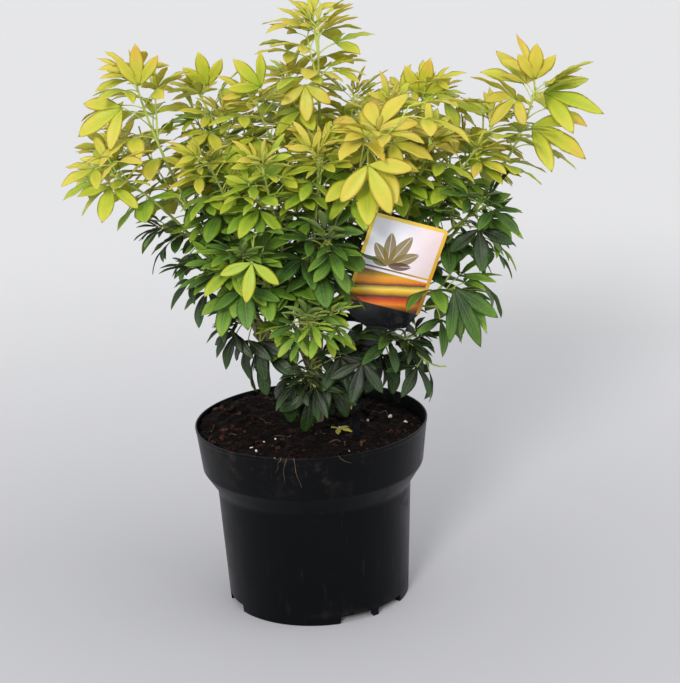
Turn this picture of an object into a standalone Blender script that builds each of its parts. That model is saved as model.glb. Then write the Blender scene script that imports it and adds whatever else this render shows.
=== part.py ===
"""Golden Mexican orange blossom in a nursery pot, with a plastic plant label.

All sizes are in metres, and MM turns millimetres into them. The origin is the middle
of the pot's underside, +Z is up and -Y is the front.
"""

import math
import random
from dataclasses import dataclass

import bmesh
import bpy
import numpy as np
from mathutils import Matrix, Vector
from mathutils.bvhtree import BVHTree

MM = 0.001
GAP = 0.3 * MM
WELD = 0.001 * MM
UP = Vector((0, 0, 1))
FRONT = Vector((0, -1, 0))

# Nursery pot, radii at each height
POT_SIDES = 36
POT_WALL = 1.5 * MM
POT_HEIGHT = 180.5 * MM
RIM_RADIUS = 113.5 * MM
COLLAR_BOTTOM = 136.4 * MM
COLLAR_RADIUS = 108.0 * MM
BODY_TOP = 116.8 * MM
BODY_TOP_RADIUS = 95.0 * MM
BASE_RADIUS = 89.0 * MM
FOOT_WIDTH = 6.5 * MM
FOOT_HEIGHT = 8.5 * MM
PAD_RADIUS = 45.2 * MM
PAD_DRAFT = 0.8 * MM

# Notches in the foot ring, as azimuths from the front, three times round
NOTCH_AZIMUTHS = (23.5, 50.5)
NOTCH_ARC = 23.0
NOTCH_HEIGHT = 7.5 * MM

# Drainage holes in the raised part of the floor
DRAIN_COUNT = 6
DRAIN_RADIUS = 4.5 * MM
DRAIN_CIRCLE = 66.0 * MM

# Potting soil, with a mound at the back left and a slight fall to the right
SOIL_TOP = 170.0 * MM
SOIL_RINGS = (20, 40, 60, 80, 98)
SOIL_LUMP = 1.6 * MM
SOIL_FALL = 0.030
MOUND_AT = (-62, 52)
MOUND_SPREAD = 36
MOUND_HEIGHT = 8.0 * MM

# Trunk and stake in the soil
HOLE_FLOOR = 130.0 * MM
HOLE_LENGTH = 60.0 * MM
TRUNK_FOOT = Vector((7, 24, 0)) * MM
TRUNK_RADII = (6.4 * MM, 5.4 * MM)
TRUNK_BEND_Z = 178.0 * MM
TRUNK_TOP = Vector((8, 10, 208)) * MM

# Plant label: a wide head on a bent stake, in a plane that leans to the front
LABEL_THICKNESS = 0.8 * MM
LABEL_LEAN = 11.0
LABEL_TOP_LEFT = Vector((67, -69, 401)) * MM
HEAD_TURN = 18.7
HEAD_WIDTH = 72.0 * MM
HEAD_STRAIGHT = 88.0 * MM
HEAD_LENGTH = 115.0 * MM
HEAD_CORNER = 4.0 * MM
NECK_WIDTH = 16.0 * MM
STAKE_WIDTH = 8.0 * MM
STAKE_TIP_WIDTH = 1.2 * MM
STAKE_PIECES = 8
STAKE_FOOT_X = 43.0 * MM
STAKE_BEND_Z = 186.0 * MM

# Stems
TWIG_SHARE = 0.38
LIMB_RADII = (4.6 * MM, 3.2 * MM)
TWIG_RADII = (2.6 * MM, 1.9 * MM)
STEM_RADII = (1.7 * MM, 0.9 * MM)
STEM_CLEARANCE = 5.5 * MM
PUSH_STEP = 10.0 * MM
PUSH_WAYS = 8
PUSHES = 25

# Places along a branch: the joints of its woody foot and of its leafy stem, where
# pairs of leaves stand on the joints from the second of the stem's on
TWIG_JOINTS = (0.0, 0.19, TWIG_SHARE)
STEM_JOINTS = (TWIG_SHARE, 0.60, 0.80, 0.985, 1.0)

# Leaves
BLADE_THICKNESS = 0.7 * MM
CLEARANCE = 1.15 * MM
HUB_RADIUS = 1.3 * MM
HUB_STEP = math.radians(55)
PETIOLE_WIDTH = 1.1 * MM
PETIOLE_FACES = 2
SIDE_LEAFLET = 0.84
LOWEST_LEAF = 184.0 * MM
LEAF_FREE_RADIUS = 120.0 * MM

# Age of each pair of leaves from the tip down, from 0, just open, to 1, full size
PAIR_AGES = (0.3, 0.85, 1.0)

# How far along a leaflet its outline has corners, and half its width there over its width
YOUNG_STATIONS = ((0.60, 0.50),)
GROWN_STATIONS = ((0.42, 0.42), (0.76, 0.44))


@dataclass(frozen=True)
class Limb:
    """A woody limb: where it leaves the trunk, where it ends and where it heads."""

    name: str
    fork_height: float
    end: tuple
    heading: tuple


@dataclass(frozen=True)
class Shoot:
    """A leafy stem: its tip and heading in millimetres, and the leaves it carries."""

    name: str
    limb: str
    tip: tuple
    heading: tuple
    pairs: int
    leaf: float
    slim: float = 0.42
    droop: float = 34
    turn: float = 0
    tone: str = "gold"


LIMBS = (
    Limb("left", 192, (-50, -4, 272), (-0.6, -0.1, 0.8)),
    Limb("front", 196, (-4, -42, 264), (-0.1, -0.6, 0.8)),
    Limb("right", 200, (66, -8, 268), (0.6, -0.1, 0.8)),
    Limb("back", 203, (6, 58, 274), (0.0, 0.6, 0.8)),
    Limb("crown", 204, (20, 12, 330), (0.1, 0.0, 1.0)),
)

SHOOTS = (
    Shoot("top_sprig", "crown", (25, 0, 562), (0.05, -0.1, 1), 2, 46, turn=15),
    Shoot("top_left", "crown", (-91, 30, 502), (-0.4, 0.1, 0.9), 1, 42),
    Shoot("top_inner_left", "crown", (-36, -20, 500), (-0.2, -0.35, 0.9), 1, 42),
    Shoot("top_back", "crown", (-3, 50, 508), (0, 0.35, 0.9), 1, 42),
    Shoot("top_middle", "crown", (55, 25, 490), (0.1, 0.05, 1), 1, 42, turn=40),
    Shoot("top_front", "crown", (88, -35, 488), (0.2, -0.4, 0.85), 1, 42),
    Shoot("top_right", "crown", (126, 30, 488), (0.45, 0.1, 0.85), 1, 42),
    Shoot("left_shoulder", "left", (-148, 5, 522), (-0.2, 0, 0.95), 1, 50, droop=46, turn=-10),
    Shoot("far_left", "left", (-174, -30, 440), (-0.8, -0.25, 0.5), 1, 50, droop=30, turn=60),
    Shoot("left_dark", "left", (-130, -5, 382), (-0.7, -0.1, 0.4), 2, 38, 0.26, 50, tone="dark"),
    Shoot("left_upper", "left", (-95, 55, 468), (-0.4, 0.3, 0.8), 1, 42, tone="lime"),
    Shoot("left_low", "left", (-100, -50, 352), (-0.6, -0.5, 0.4), 1, 37, 0.30, 45, tone="dark"),
    Shoot("left_front", "left", (-84, -55, 452), (-0.3, -0.45, 0.8), 1, 42),
    Shoot("left_back", "left", (-172, 70, 440), (-0.8, 0.3, 0.4), 1, 44, turn=30),
    Shoot("front_lime", "front", (-53, -112, 376), (-0.25, -0.8, 0.45), 2, 42, tone="lime"),
    Shoot("front_young", "front", (2, -122, 316), (0, -0.85, 0.35), 2, 32, 0.30, tone="lime"),
    Shoot("front_yellow", "front", (70, -98, 478), (0.2, -0.75, 0.6), 2, 54, 0.50, 44, 45),
    Shoot("front_green", "front", (22, -98, 384), (0.05, -0.8, 0.5), 2, 44, tone="green"),
    Shoot("front_upper_left", "front", (-32, -85, 450), (-0.1, -0.55, 0.8), 1, 42),
    Shoot("front_upper", "front", (18, -78, 455), (0, -0.5, 0.85), 1, 40),
    Shoot("low_left", "front", (-62, -70, 305), (-0.5, -0.6, 0.1), 1, 42, 0.36, 50, tone="dark"),
    Shoot("low_front", "front", (2, -72, 248), (-0.1, -0.8, -0.1), 2, 44, 0.34, 50, 30, tone="dark"),
    Shoot("right_upper", "right", (122, -55, 460), (0.3, -0.4, 0.85), 1, 42),
    Shoot("right_front", "right", (163, -45, 448), (0.5, -0.35, 0.75), 1, 42),
    Shoot("right_green", "right", (170, -45, 394), (0.6, -0.5, 0.4), 1, 44, tone="green"),
    Shoot("right_sprig", "right", (225, 0, 496), (0.3, 0, 0.95), 1, 64, droop=30, turn=15),
    Shoot("right_back", "right", (192, 48, 458), (0.5, 0.3, 0.75), 1, 42),
    Shoot("right_dark", "right", (174, -10, 362), (0.7, -0.1, 0.25), 1, 44, 0.28, 55, tone="dark"),
    Shoot("right_low", "right", (138, -45, 316), (0.6, -0.4, 0), 1, 54, 0.32, 50, tone="dark"),
    Shoot("right_lowest", "right", (94, -38, 268), (0.5, -0.3, -0.2), 2, 42, 0.32, 50, 20, tone="dark"),
    Shoot("back_left", "back", (-95, 112, 428), (-0.5, 0.6, 0.6), 1, 44),
    Shoot("back_middle", "back", (-8, 142, 448), (0, 0.6, 0.8), 1, 44),
    Shoot("back_right", "back", (85, 125, 455), (0.4, 0.5, 0.75), 1, 44),
    Shoot("back_far_right", "back", (150, 92, 418), (0.6, 0.5, 0.5), 1, 44, tone="lime"),
    Shoot("back_low_left", "back", (-74, 112, 342), (-0.5, 0.7, 0.2), 1, 48, 0.36, 45, tone="dark"),
    Shoot("back_low_right", "back", (62, 120, 336), (0.4, 0.8, 0.1), 1, 48, 0.36, 45, tone="dark"),
)

# Name, place on the soil, heading in degrees from the front, and leaflet length
FALLEN_LEAVES = (
    ("fallen_leaf_1", (26, -8), 60, 15),
    ("fallen_leaf_2", (42, 62), -70, 11),
)

# Turn about the stem and tilt, in degrees, and size, tried in this order for each leaf
PLACINGS = tuple(
    (turn, tilt, size)
    for size in (1.0, 0.82)
    for turn, tilt in (
        (0, 0), (13, 0), (-13, 0), (0, 12), (0, -12), (24, 8), (-24, 8),
        (24, -12), (-24, -12), (38, 0), (-38, 0), (50, 14), (-50, 14),
    )
)

# Colour, roughness
FINISHES = {
    "pot": ((0.012, 0.014, 0.016), 0.42),
    "soil": ((0.030, 0.015, 0.011), 0.95),
    "label": ((0.80, 0.62, 0.20), 0.35),
    "wood": ((0.22, 0.19, 0.12), 0.80),
    "gold": ((0.52, 0.50, 0.04), 0.45),
    "lime": ((0.30, 0.42, 0.04), 0.45),
    "green": ((0.13, 0.25, 0.03), 0.45),
    "dark": ((0.05, 0.11, 0.02), 0.40),
}


def clear_scene():
    """Remove every object of the startup scene."""
    for obj in list(bpy.data.objects):
        bpy.data.objects.remove(obj, do_unlink=True)


def new_collection(name):
    collection = bpy.data.collections.new(name)
    bpy.context.scene.collection.children.link(collection)
    return collection


def make_materials():
    materials = {}
    for name, (colour, roughness) in FINISHES.items():
        material = bpy.data.materials.new(name)
        material.use_nodes = True
        shader = material.node_tree.nodes["Principled BSDF"]
        shader.inputs["Base Color"].default_value = (*colour, 1)
        shader.inputs["Roughness"].default_value = roughness
        shader.inputs["Metallic"].default_value = 0.0
        materials[name] = material
    return materials


def mesh_object(name, verts, faces, collection, material):
    mesh = bpy.data.meshes.new(name)
    mesh.from_pydata([tuple(v) for v in verts], [], faces)
    obj = bpy.data.objects.new(name, mesh)
    collection.objects.link(obj)
    mesh.materials.append(material)
    return obj


def evaluated_mesh(obj):
    """A new mesh with the object's modifiers or its curve bevel applied."""
    depsgraph = bpy.context.evaluated_depsgraph_get()
    mesh = bpy.data.meshes.new_from_object(obj.evaluated_get(depsgraph))
    mesh.name = obj.name
    return mesh


def apply_modifiers(obj):
    mesh = evaluated_mesh(obj)
    obj.modifiers.clear()
    obj.data = mesh


def remove_objects(objects):
    for obj in objects:
        bpy.data.objects.remove(obj, do_unlink=True)


def turned(name, profile, sides, collection, material):
    """Turn a profile, which starts and ends on the axis, with a Screw modifier."""
    verts = [(radius, 0, height) for radius, height in profile]
    mesh = bpy.data.meshes.new(name)
    mesh.from_pydata(verts, [(i, i + 1) for i in range(len(verts) - 1)], [])
    mesh.materials.append(material)
    obj = bpy.data.objects.new(name, mesh)
    collection.objects.link(obj)
    screw = obj.modifiers.new("turn", "SCREW")
    screw.axis = "Z"
    screw.angle = math.tau
    screw.steps = sides
    screw.render_steps = sides
    screw.use_merge_vertices = True
    screw.merge_threshold = WELD
    return obj


def cut(obj, cutters):
    """Take the cutters out of the object."""
    for cutter in cutters:
        cutter.hide_render = True
        cutter.display_type = "WIRE"
        boolean = obj.modifiers.new("cut", "BOOLEAN")
        boolean.operation = "DIFFERENCE"
        boolean.object = cutter
        boolean.solver = "EXACT"


def box_cutter(name, size, matrix, collection):
    bm = bmesh.new()
    bmesh.ops.create_cube(bm, size=1.0)
    bmesh.ops.scale(bm, vec=size, verts=bm.verts)
    mesh = bpy.data.meshes.new(name)
    bm.to_mesh(mesh)
    bm.free()
    obj = bpy.data.objects.new(name, mesh)
    obj.matrix_world = matrix
    collection.objects.link(obj)
    return obj


def round_cutter(name, radius, low, high, at, sides, collection):
    bm = bmesh.new()
    bmesh.ops.create_cone(
        bm, cap_ends=True, segments=sides, radius1=radius, radius2=radius, depth=high - low
    )
    mesh = bpy.data.meshes.new(name)
    bm.to_mesh(mesh)
    bm.free()
    obj = bpy.data.objects.new(name, mesh)
    obj.location = (at[0], at[1], (low + high) / 2)
    collection.objects.link(obj)
    return obj


def solid_of_curve(name, curve, collection, material):
    """The curve as a mesh with its caps welded on."""
    guide = bpy.data.objects.new(name + "_guide", curve)
    collection.objects.link(guide)
    mesh = evaluated_mesh(guide)
    remove_objects([guide])
    bm = bmesh.new()
    bm.from_mesh(mesh)
    bmesh.ops.remove_doubles(bm, verts=bm.verts, dist=WELD)
    bmesh.ops.recalc_face_normals(bm, faces=bm.faces)
    bm.to_mesh(mesh)
    bm.free()
    mesh.materials.clear()
    mesh.materials.append(material)
    obj = bpy.data.objects.new(name, mesh)
    collection.objects.link(obj)
    return obj


def tube(name, points, radii, roundness, collection, material):
    """A tapering tube along points, as a mesh; roundness 0 has four sides and 1 has six."""
    curve = bpy.data.curves.new(name, "CURVE")
    curve.dimensions = "3D"
    curve.bevel_depth = MM
    curve.bevel_resolution = roundness
    curve.use_fill_caps = True
    spline = curve.splines.new("POLY")
    spline.points.add(len(points) - 1)
    for i, (point, end) in enumerate(zip(points, spline.points)):
        end.co = (*point, 1)
        share = i / (len(points) - 1)
        end.radius = (radii[0] + (radii[1] - radii[0]) * share) / MM
    return solid_of_curve(name, curve, collection, material)


def fuse(body, others):
    """Join the others to the body with one Boolean union, and remove them."""
    joins = new_collection("joins")
    for obj in others:
        for home in list(obj.users_collection):
            home.objects.unlink(obj)
        joins.objects.link(obj)
    union = body.modifiers.new("union", "BOOLEAN")
    union.operation = "UNION"
    union.operand_type = "COLLECTION"
    union.collection = joins
    union.solver = "EXACT"
    apply_modifiers(body)
    remove_objects(others)
    bpy.data.collections.remove(joins)


def shade_round(obj, angle=40):
    obj.data.shade_smooth()
    obj.data.set_sharp_from_angle(angle=math.radians(angle))


# Pot


def inner_radius(height):
    """Radius of the pot's inner wall at a height above the floor."""
    return float(
        np.interp(
            height,
            (0, BODY_TOP, COLLAR_BOTTOM, POT_HEIGHT),
            [
                radius - POT_WALL
                for radius in (BASE_RADIUS, BODY_TOP_RADIUS, COLLAR_RADIUS, RIM_RADIUS)
            ],
        )
    )


def build_pot(collection, cutters, material):
    floor = FOOT_HEIGHT + POT_WALL
    foot_inner = BASE_RADIUS - FOOT_WIDTH
    profile = (
        (0, POT_WALL),
        (PAD_RADIUS - POT_WALL, POT_WALL),
        (PAD_RADIUS + PAD_DRAFT - POT_WALL, floor),
        (inner_radius(floor), floor),
        (inner_radius(BODY_TOP), BODY_TOP),
        (inner_radius(COLLAR_BOTTOM), COLLAR_BOTTOM),
        (inner_radius(POT_HEIGHT), POT_HEIGHT),
        (RIM_RADIUS, POT_HEIGHT),
        (COLLAR_RADIUS, COLLAR_BOTTOM),
        (BODY_TOP_RADIUS, BODY_TOP),
        (BASE_RADIUS, 0),
        (foot_inner, 0),
        (foot_inner, FOOT_HEIGHT),
        (PAD_RADIUS + PAD_DRAFT, FOOT_HEIGHT),
        (PAD_RADIUS, 0),
        (0, 0),
    )
    pot = turned("pot", profile, POT_SIDES, collection, material)
    notch_chord = 2 * BASE_RADIUS * math.sin(math.radians(NOTCH_ARC / 2))
    for third in range(3):
        for azimuth in NOTCH_AZIMUTHS:
            turn = math.radians(azimuth + 120 * third)
            place = Matrix.Rotation(turn, 4, "Z") @ Matrix.Translation((0, -BASE_RADIUS, 0))
            size = (notch_chord, 4 * FOOT_WIDTH, 2 * NOTCH_HEIGHT)
            cut(pot, [box_cutter("notch_cutter", size, place, cutters)])
    for i in range(DRAIN_COUNT):
        turn = math.tau * (i + 0.5) / DRAIN_COUNT
        at = (DRAIN_CIRCLE * math.sin(turn), -DRAIN_CIRCLE * math.cos(turn))
        hole = round_cutter(
            "drain_cutter", DRAIN_RADIUS, FOOT_HEIGHT - MM, floor + MM, at, 8, cutters
        )
        cut(pot, [hole])
    apply_modifiers(pot)
    shade_round(pot)
    return pot


# Soil


def soil_rise(x, y):
    """Height of the soil over its mean level: a mound at the back left and small lumps."""
    px, py = x / MM, y / MM
    away = math.hypot(px - MOUND_AT[0], py - MOUND_AT[1]) / MOUND_SPREAD
    mound = MOUND_HEIGHT * math.exp(-(away**2) / 2)
    lumps = (
        math.sin(0.21 * px + 1.3) * math.cos(0.17 * py - 0.4)
        + 0.6 * math.sin(0.37 * px - 0.31 * py)
        + 0.5 * math.cos(0.43 * py + 0.11 * px + 2.0)
    )
    return mound - SOIL_FALL * x + SOIL_LUMP * lumps


def build_soil(collection, cutters, material):
    floor = FOOT_HEIGHT + POT_WALL + GAP
    pad_floor = POT_WALL + GAP
    pad = PAD_RADIUS - POT_WALL - 2 * GAP
    profile = [(0, SOIL_TOP)]
    profile += [(ring * MM, SOIL_TOP) for ring in SOIL_RINGS]
    for height in (SOIL_TOP, COLLAR_BOTTOM, BODY_TOP, floor):
        profile.append((inner_radius(height) - 2 * GAP, height))
    profile += [(pad + PAD_DRAFT, floor), (pad, pad_floor), (0, pad_floor)]
    soil = turned("soil", profile, POT_SIDES, collection, material)
    apply_modifiers(soil)
    for vertex in soil.data.vertices:
        if abs(vertex.co.z - SOIL_TOP) > WELD:
            continue
        radius = math.hypot(vertex.co.x, vertex.co.y)
        height = SOIL_TOP + soil_rise(vertex.co.x, vertex.co.y)
        vertex.co.z = height
        if radius > SOIL_RINGS[-1] * MM + WELD:
            share = (inner_radius(height) - 2 * GAP) / radius
            vertex.co.x *= share
            vertex.co.y *= share
    hole_top = HOLE_FLOOR + HOLE_LENGTH
    trunk_hole = round_cutter(
        "trunk_hole", TRUNK_RADII[0] + GAP, HOLE_FLOOR, hole_top, TRUNK_FOOT, 12, cutters
    )
    stake_size = (STAKE_WIDTH + 2 * GAP, LABEL_THICKNESS + 2 * GAP, HOLE_LENGTH)
    stake_hole = box_cutter("stake_hole", stake_size, stake_frame(), cutters)
    cut(soil, [trunk_hole, stake_hole])
    apply_modifiers(soil)
    shade_round(soil, 60)
    return soil


# Label


def label_matrix():
    """Places a flat drawing, X to the right and Y up, in the label's leaning plane."""
    lean = Matrix.Rotation(math.radians(90 + LABEL_LEAN), 4, "X")
    return Matrix.Translation(LABEL_TOP_LEFT) @ lean


def stake_frame():
    """Middle of the stake's hole, turned to the label's lean."""
    middle = HOLE_FLOOR + HOLE_LENGTH / 2
    along = (LABEL_TOP_LEFT.z - middle) / math.cos(math.radians(LABEL_LEAN))
    local = Vector((STAKE_FOOT_X - LABEL_TOP_LEFT.x, -along, 0))
    place = label_matrix() @ local
    return Matrix.Translation(place) @ Matrix.Rotation(math.radians(LABEL_LEAN), 4, "X")


def arc(centre, radius, start, stop, count):
    """Points of an arc, with angles in degrees."""
    points = []
    for i in range(count):
        angle = math.radians(start + (stop - start) * i / (count - 1))
        points.append(Vector((centre[0] + radius * math.cos(angle), centre[1] + radius * math.sin(angle))))
    return points


def label_outline():
    """Outline of the label in its own plane, from the head's top left corner."""
    shoulder = HEAD_LENGTH - HEAD_STRAIGHT
    half = HEAD_WIDTH / 2
    neck = NECK_WIDTH / 2
    head = arc((HEAD_CORNER, -HEAD_CORNER), HEAD_CORNER, 180, 90, 4)
    head += arc((HEAD_WIDTH - HEAD_CORNER, -HEAD_CORNER), HEAD_CORNER, 90, 0, 4)
    head.append(Vector((HEAD_WIDTH, -HEAD_STRAIGHT)))
    rounding = math.radians(45)
    inset = (half - neck) * 0.32
    head.append(Vector((HEAD_WIDTH - inset, -HEAD_STRAIGHT - shoulder * math.sin(rounding))))
    left = [Vector((HEAD_WIDTH - p.x, p.y)) for p in reversed(head[-2:])]
    turn = Matrix.Rotation(math.radians(-HEAD_TURN), 2)
    neck_middle = turn @ Vector((half, -HEAD_LENGTH))
    down = turn @ Vector((0, -1))
    scale = 1 / math.cos(math.radians(LABEL_LEAN))
    bend = Vector((STAKE_FOOT_X - LABEL_TOP_LEFT.x, (STAKE_BEND_Z - LABEL_TOP_LEFT.z) * scale))
    tip_drop = (HOLE_FLOOR + 2 * GAP - LABEL_TOP_LEFT.z) * scale
    right_side, left_side = [], []
    for i in range(STAKE_PIECES + 1):
        t = i / STAKE_PIECES
        handle_1 = neck_middle + down * 30 * MM
        handle_2 = bend + Vector((0, 1)) * 25 * MM
        at, heading = bezier_2d(neck_middle, handle_1, handle_2, bend, t)
        across = Vector((-heading.y, heading.x))
        width = neck + (STAKE_WIDTH / 2 - neck) * min(1, 2 * t)
        right_side.append(at + across * width)
        left_side.append(at - across * width)
    foot = Vector((bend.x, tip_drop))
    above_tip = foot.y + STAKE_WIDTH
    point = [
        Vector((bend.x + STAKE_WIDTH / 2, above_tip)),
        Vector((bend.x + STAKE_TIP_WIDTH / 2, foot.y)),
        Vector((bend.x - STAKE_TIP_WIDTH / 2, foot.y)),
        Vector((bend.x - STAKE_WIDTH / 2, above_tip)),
    ]
    return [turn @ p for p in head] + right_side + point + left_side[::-1] + [turn @ p for p in left]


def bezier_2d(a, b, c, d, t):
    """A point of a flat cubic curve and its unit heading."""
    s = 1 - t
    at = a * s**3 + b * 3 * s * s * t + c * 3 * s * t * t + d * t**3
    heading = (b - a) * s * s + (c - b) * 2 * s * t + (d - c) * t * t
    return at, heading.normalized()


def build_label(collection, material):
    curve = bpy.data.curves.new("plant_label", "CURVE")
    curve.dimensions = "2D"
    curve.fill_mode = "BOTH"
    curve.extrude = LABEL_THICKNESS / 2
    outline = label_outline()
    spline = curve.splines.new("POLY")
    spline.points.add(len(outline) - 1)
    for point, end in zip(outline, spline.points):
        end.co = (point.x, point.y, 0, 1)
    spline.use_cyclic_u = True
    label = solid_of_curve("plant_label", curve, collection, material)
    label.matrix_world = label_matrix()
    return label


def label_guard():
    """The label's middle plane as a thin surface that leaves keep clear of."""
    place = label_matrix()
    verts = [place @ Vector((p.x, p.y, 0)) for p in label_outline()]
    return verts, [tuple(range(len(verts)))]


# Branches


def cubic(a, b, c, d, t):
    """A point of a cubic curve and its unit heading."""
    s = 1 - t
    at = a * s**3 + b * (3 * s * s * t) + c * (3 * s * t * t) + d * t**3
    heading = (b - a) * (s * s) + (c - b) * (2 * s * t) + (d - c) * (t * t)
    return at, heading.normalized()


def square_to(heading):
    """Two unit directions square to a heading, the first as near the front as can be."""
    first = (FRONT - heading * FRONT.dot(heading)).normalized()
    return first, heading.cross(first)


class Branch:
    """The path of a shoot from its limb to its tip, first woody and then leafy."""

    def __init__(self, shoot, start, limb_heading):
        self.shoot = shoot
        self.tip = Vector(shoot.tip) * MM
        self.start = start
        reach = (self.tip - start).length
        heading = Vector(shoot.heading).normalized()
        self.handle_1 = start + (limb_heading * 0.6 + UP * 0.4).normalized() * reach * 0.30
        self.handle_2 = self.tip - heading * reach * 0.34

    def at(self, share):
        return cubic(self.start, self.handle_1, self.handle_2, self.tip, share)

    def bend(self, offset):
        self.handle_1 = self.handle_1 + offset * 0.6
        self.handle_2 = self.handle_2 + offset

    def points(self, shares):
        return [self.at(share)[0] for share in shares]


def limb_curve(limb):
    start = Vector((TRUNK_TOP.x, TRUNK_TOP.y, limb.fork_height * MM))
    end = Vector(limb.end) * MM
    reach = (end - start).length
    outward = Vector(limb.heading).normalized()
    return start, start + UP * reach * 0.25, end - outward * reach * 0.35, end


def limb_points(limb):
    return [cubic(*limb_curve(limb), i / 3)[0] for i in range(4)]


def grow_branches():
    """Lay out every branch, each bent clear of the ones before it."""
    branches = []
    woods = np.empty((0, 3))
    leafy = np.empty((0, 3))
    for shoot in SHOOTS:
        limb = next(limb for limb in LIMBS if limb.name == shoot.limb)
        draw = random.Random(shoot.name)
        start, limb_heading = cubic(*limb_curve(limb), draw.uniform(0.45, 0.97))
        for push in range(PUSHES):
            branch = Branch(shoot, start, limb_heading)
            first, second = square_to((branch.tip - start).normalized())
            angle = math.tau * push / PUSH_WAYS
            size = PUSH_STEP * math.ceil(push / PUSH_WAYS)
            branch.bend((first * math.cos(angle) + second * math.sin(angle)) * size)
            twig = np.array(branch.points(np.linspace(0.12, TWIG_SHARE, 30)))
            stem = np.array(branch.points(np.linspace(TWIG_SHARE, 1.0, 70)))
            if nearest(stem, woods) > STEM_CLEARANCE and nearest(stem, leafy) > STEM_CLEARANCE:
                if nearest(twig, leafy) > STEM_CLEARANCE:
                    break
        wood = np.array(branch.points(np.linspace(0, TWIG_SHARE, 40)))
        woods = np.vstack([woods, wood])
        leafy = np.vstack([leafy, stem])
        branches.append(branch)
    return branches


def nearest(some, others):
    if not len(others):
        return math.inf
    return float(np.min(np.linalg.norm(some[:, None, :] - others[None, :, :], axis=2)))


# Leaves


@dataclass(frozen=True)
class Leaf:
    """A leaf of three leaflets that meet at a hub, with a petiole from its root."""

    root: Vector
    hub: Vector
    along: Vector
    normal: Vector
    length: float
    width: float
    spread: float
    rise: float
    fall: float

    @property
    def left(self):
        return self.normal.cross(self.along)

    def hub_point(self, steps):
        """A point on the hub's edge, so many leaflets' roots to the left of the middle."""
        angle = steps * HUB_STEP
        return self.hub + (self.along * math.cos(angle) + self.left * math.sin(angle)) * HUB_RADIUS

    def leaflet_point(self, side, share, across):
        """A point on leaflet -1, 0 or 1, so far along its arc and off its rib."""
        angle = side * self.spread
        out = self.along * math.cos(angle) + self.left * math.sin(angle)
        beside = self.normal.cross(out)
        length = self.length * (SIDE_LEAFLET if side else 1.0)
        sweep = self.fall - self.rise
        slope = self.rise + sweep * share
        reach = length * (math.sin(slope) - math.sin(self.rise)) / sweep
        height = length * (math.cos(self.rise) - math.cos(slope)) / sweep
        return self.hub + out * (HUB_RADIUS + reach) + self.normal * height + beside * across

    def surface(self, stations):
        """Corners and triangles of the thin blade, the petiole's triangles first.

        Stations are pairs: how far along a leaflet, and half its width there over
        its full width.
        """
        half_petiole = self.left * PETIOLE_WIDTH / 2
        verts = [self.root + half_petiole, self.root - half_petiole]
        verts += [self.hub_point(steps) for steps in (1.5, -1.5, 0.5, -0.5)]
        faces = [(0, 1, 3), (0, 3, 2), (2, 3, 5), (2, 5, 4)]
        for side, (left, right) in ((1, (2, 4)), (0, (4, 5)), (-1, (5, 3))):
            width = self.width * (SIDE_LEAFLET if side else 1.0)
            for share, half in stations:
                new = len(verts)
                verts.append(self.leaflet_point(side, share, half * width))
                verts.append(self.leaflet_point(side, share, -half * width))
                faces += [(left, right, new + 1), (left, new + 1, new)]
                left, right = new, new + 1
            faces.append((left, right, len(verts)))
            verts.append(self.leaflet_point(side, 1.0, 0))
        return verts, faces


def leaf_on_stem(branch, share, azimuth, age, draw, placing):
    """A leaf of a branch; age goes from 0, just open, to 1, full size."""
    turn, tilt, size = placing
    shoot = branch.shoot
    root, stem_heading = branch.at(share)
    first, second = square_to(stem_heading)
    angle = math.radians(azimuth + turn + draw["azimuth"])
    outward = first * math.cos(angle) + second * math.sin(angle)
    lift = math.radians(22 + 46 * age + tilt + draw["lift"])
    away = stem_heading * math.cos(lift) + outward * math.sin(lift)
    length = shoot.leaf * MM * (0.60 + 0.40 * age) * size * draw["size"]
    petiole = length * (0.34 + 0.22 * age)
    sag = UP * (-0.010 * shoot.droop * age)
    along = (away + outward * 0.25 * age + sag).normalized()
    facing = UP * 0.75 + stem_heading * 0.45 + outward * 0.15
    normal = (facing - along * facing.dot(along)).normalized()
    roll = Matrix.Rotation(math.radians(draw["roll"]), 3, along)
    return Leaf(
        root=root,
        hub=root + (away * 2 + along).normalized() * petiole,
        along=along,
        normal=roll @ normal,
        length=length,
        width=length * shoot.slim * (0.80 + 0.20 * age),
        spread=math.radians(draw["spread"]),
        rise=math.radians(12 - 6 * age),
        fall=math.radians(-(0.5 + 0.7 * age) * shoot.droop),
    )


def thick_shell(verts, faces, reach):
    """The surface moved both ways along its normals, as a closed shell for tests."""
    bm = bmesh.new()
    corners = [bm.verts.new(v) for v in verts]
    for face in faces:
        bm.faces.new([corners[i] for i in face])
    bm.normal_update()
    count = len(verts)
    upper = [v.co + v.normal * reach for v in bm.verts]
    lower = [v.co - v.normal * reach for v in bm.verts]
    bm.verts.index_update()
    rims = [[v.index for v in e.verts] for e in bm.edges if e.is_boundary]
    bm.free()
    shell = list(faces) + [tuple(i + count for i in reversed(face)) for face in faces]
    shell += [(a, b, b + count, a + count) for a, b in rims]
    return upper + lower, shell


class Guard:
    """Thin surfaces that a new leaf keeps clear of, with the node each belongs to."""

    def __init__(self):
        self.entries = []

    def add(self, owner, verts, faces):
        middle = sum(verts, Vector()) / len(verts)
        radius = max((v - middle).length for v in verts)
        self.entries.append((owner, middle, radius, BVHTree.FromPolygons(verts, faces)))

    def is_clear(self, owner, whole, blade):
        """Whether a shell meets none of the surfaces; blade is for those of its own node."""
        trees = {}
        middle = sum(whole[0], Vector()) / len(whole[0])
        radius = max((v - middle).length for v in whole[0])
        for other, centre, size, tree in self.entries:
            if (centre - middle).length > size + radius:
                continue
            own = other == owner
            if own not in trees:
                trees[own] = BVHTree.FromPolygons(*(blade if own else whole))
            if trees[own].overlap(tree):
                return False
        return True


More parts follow.
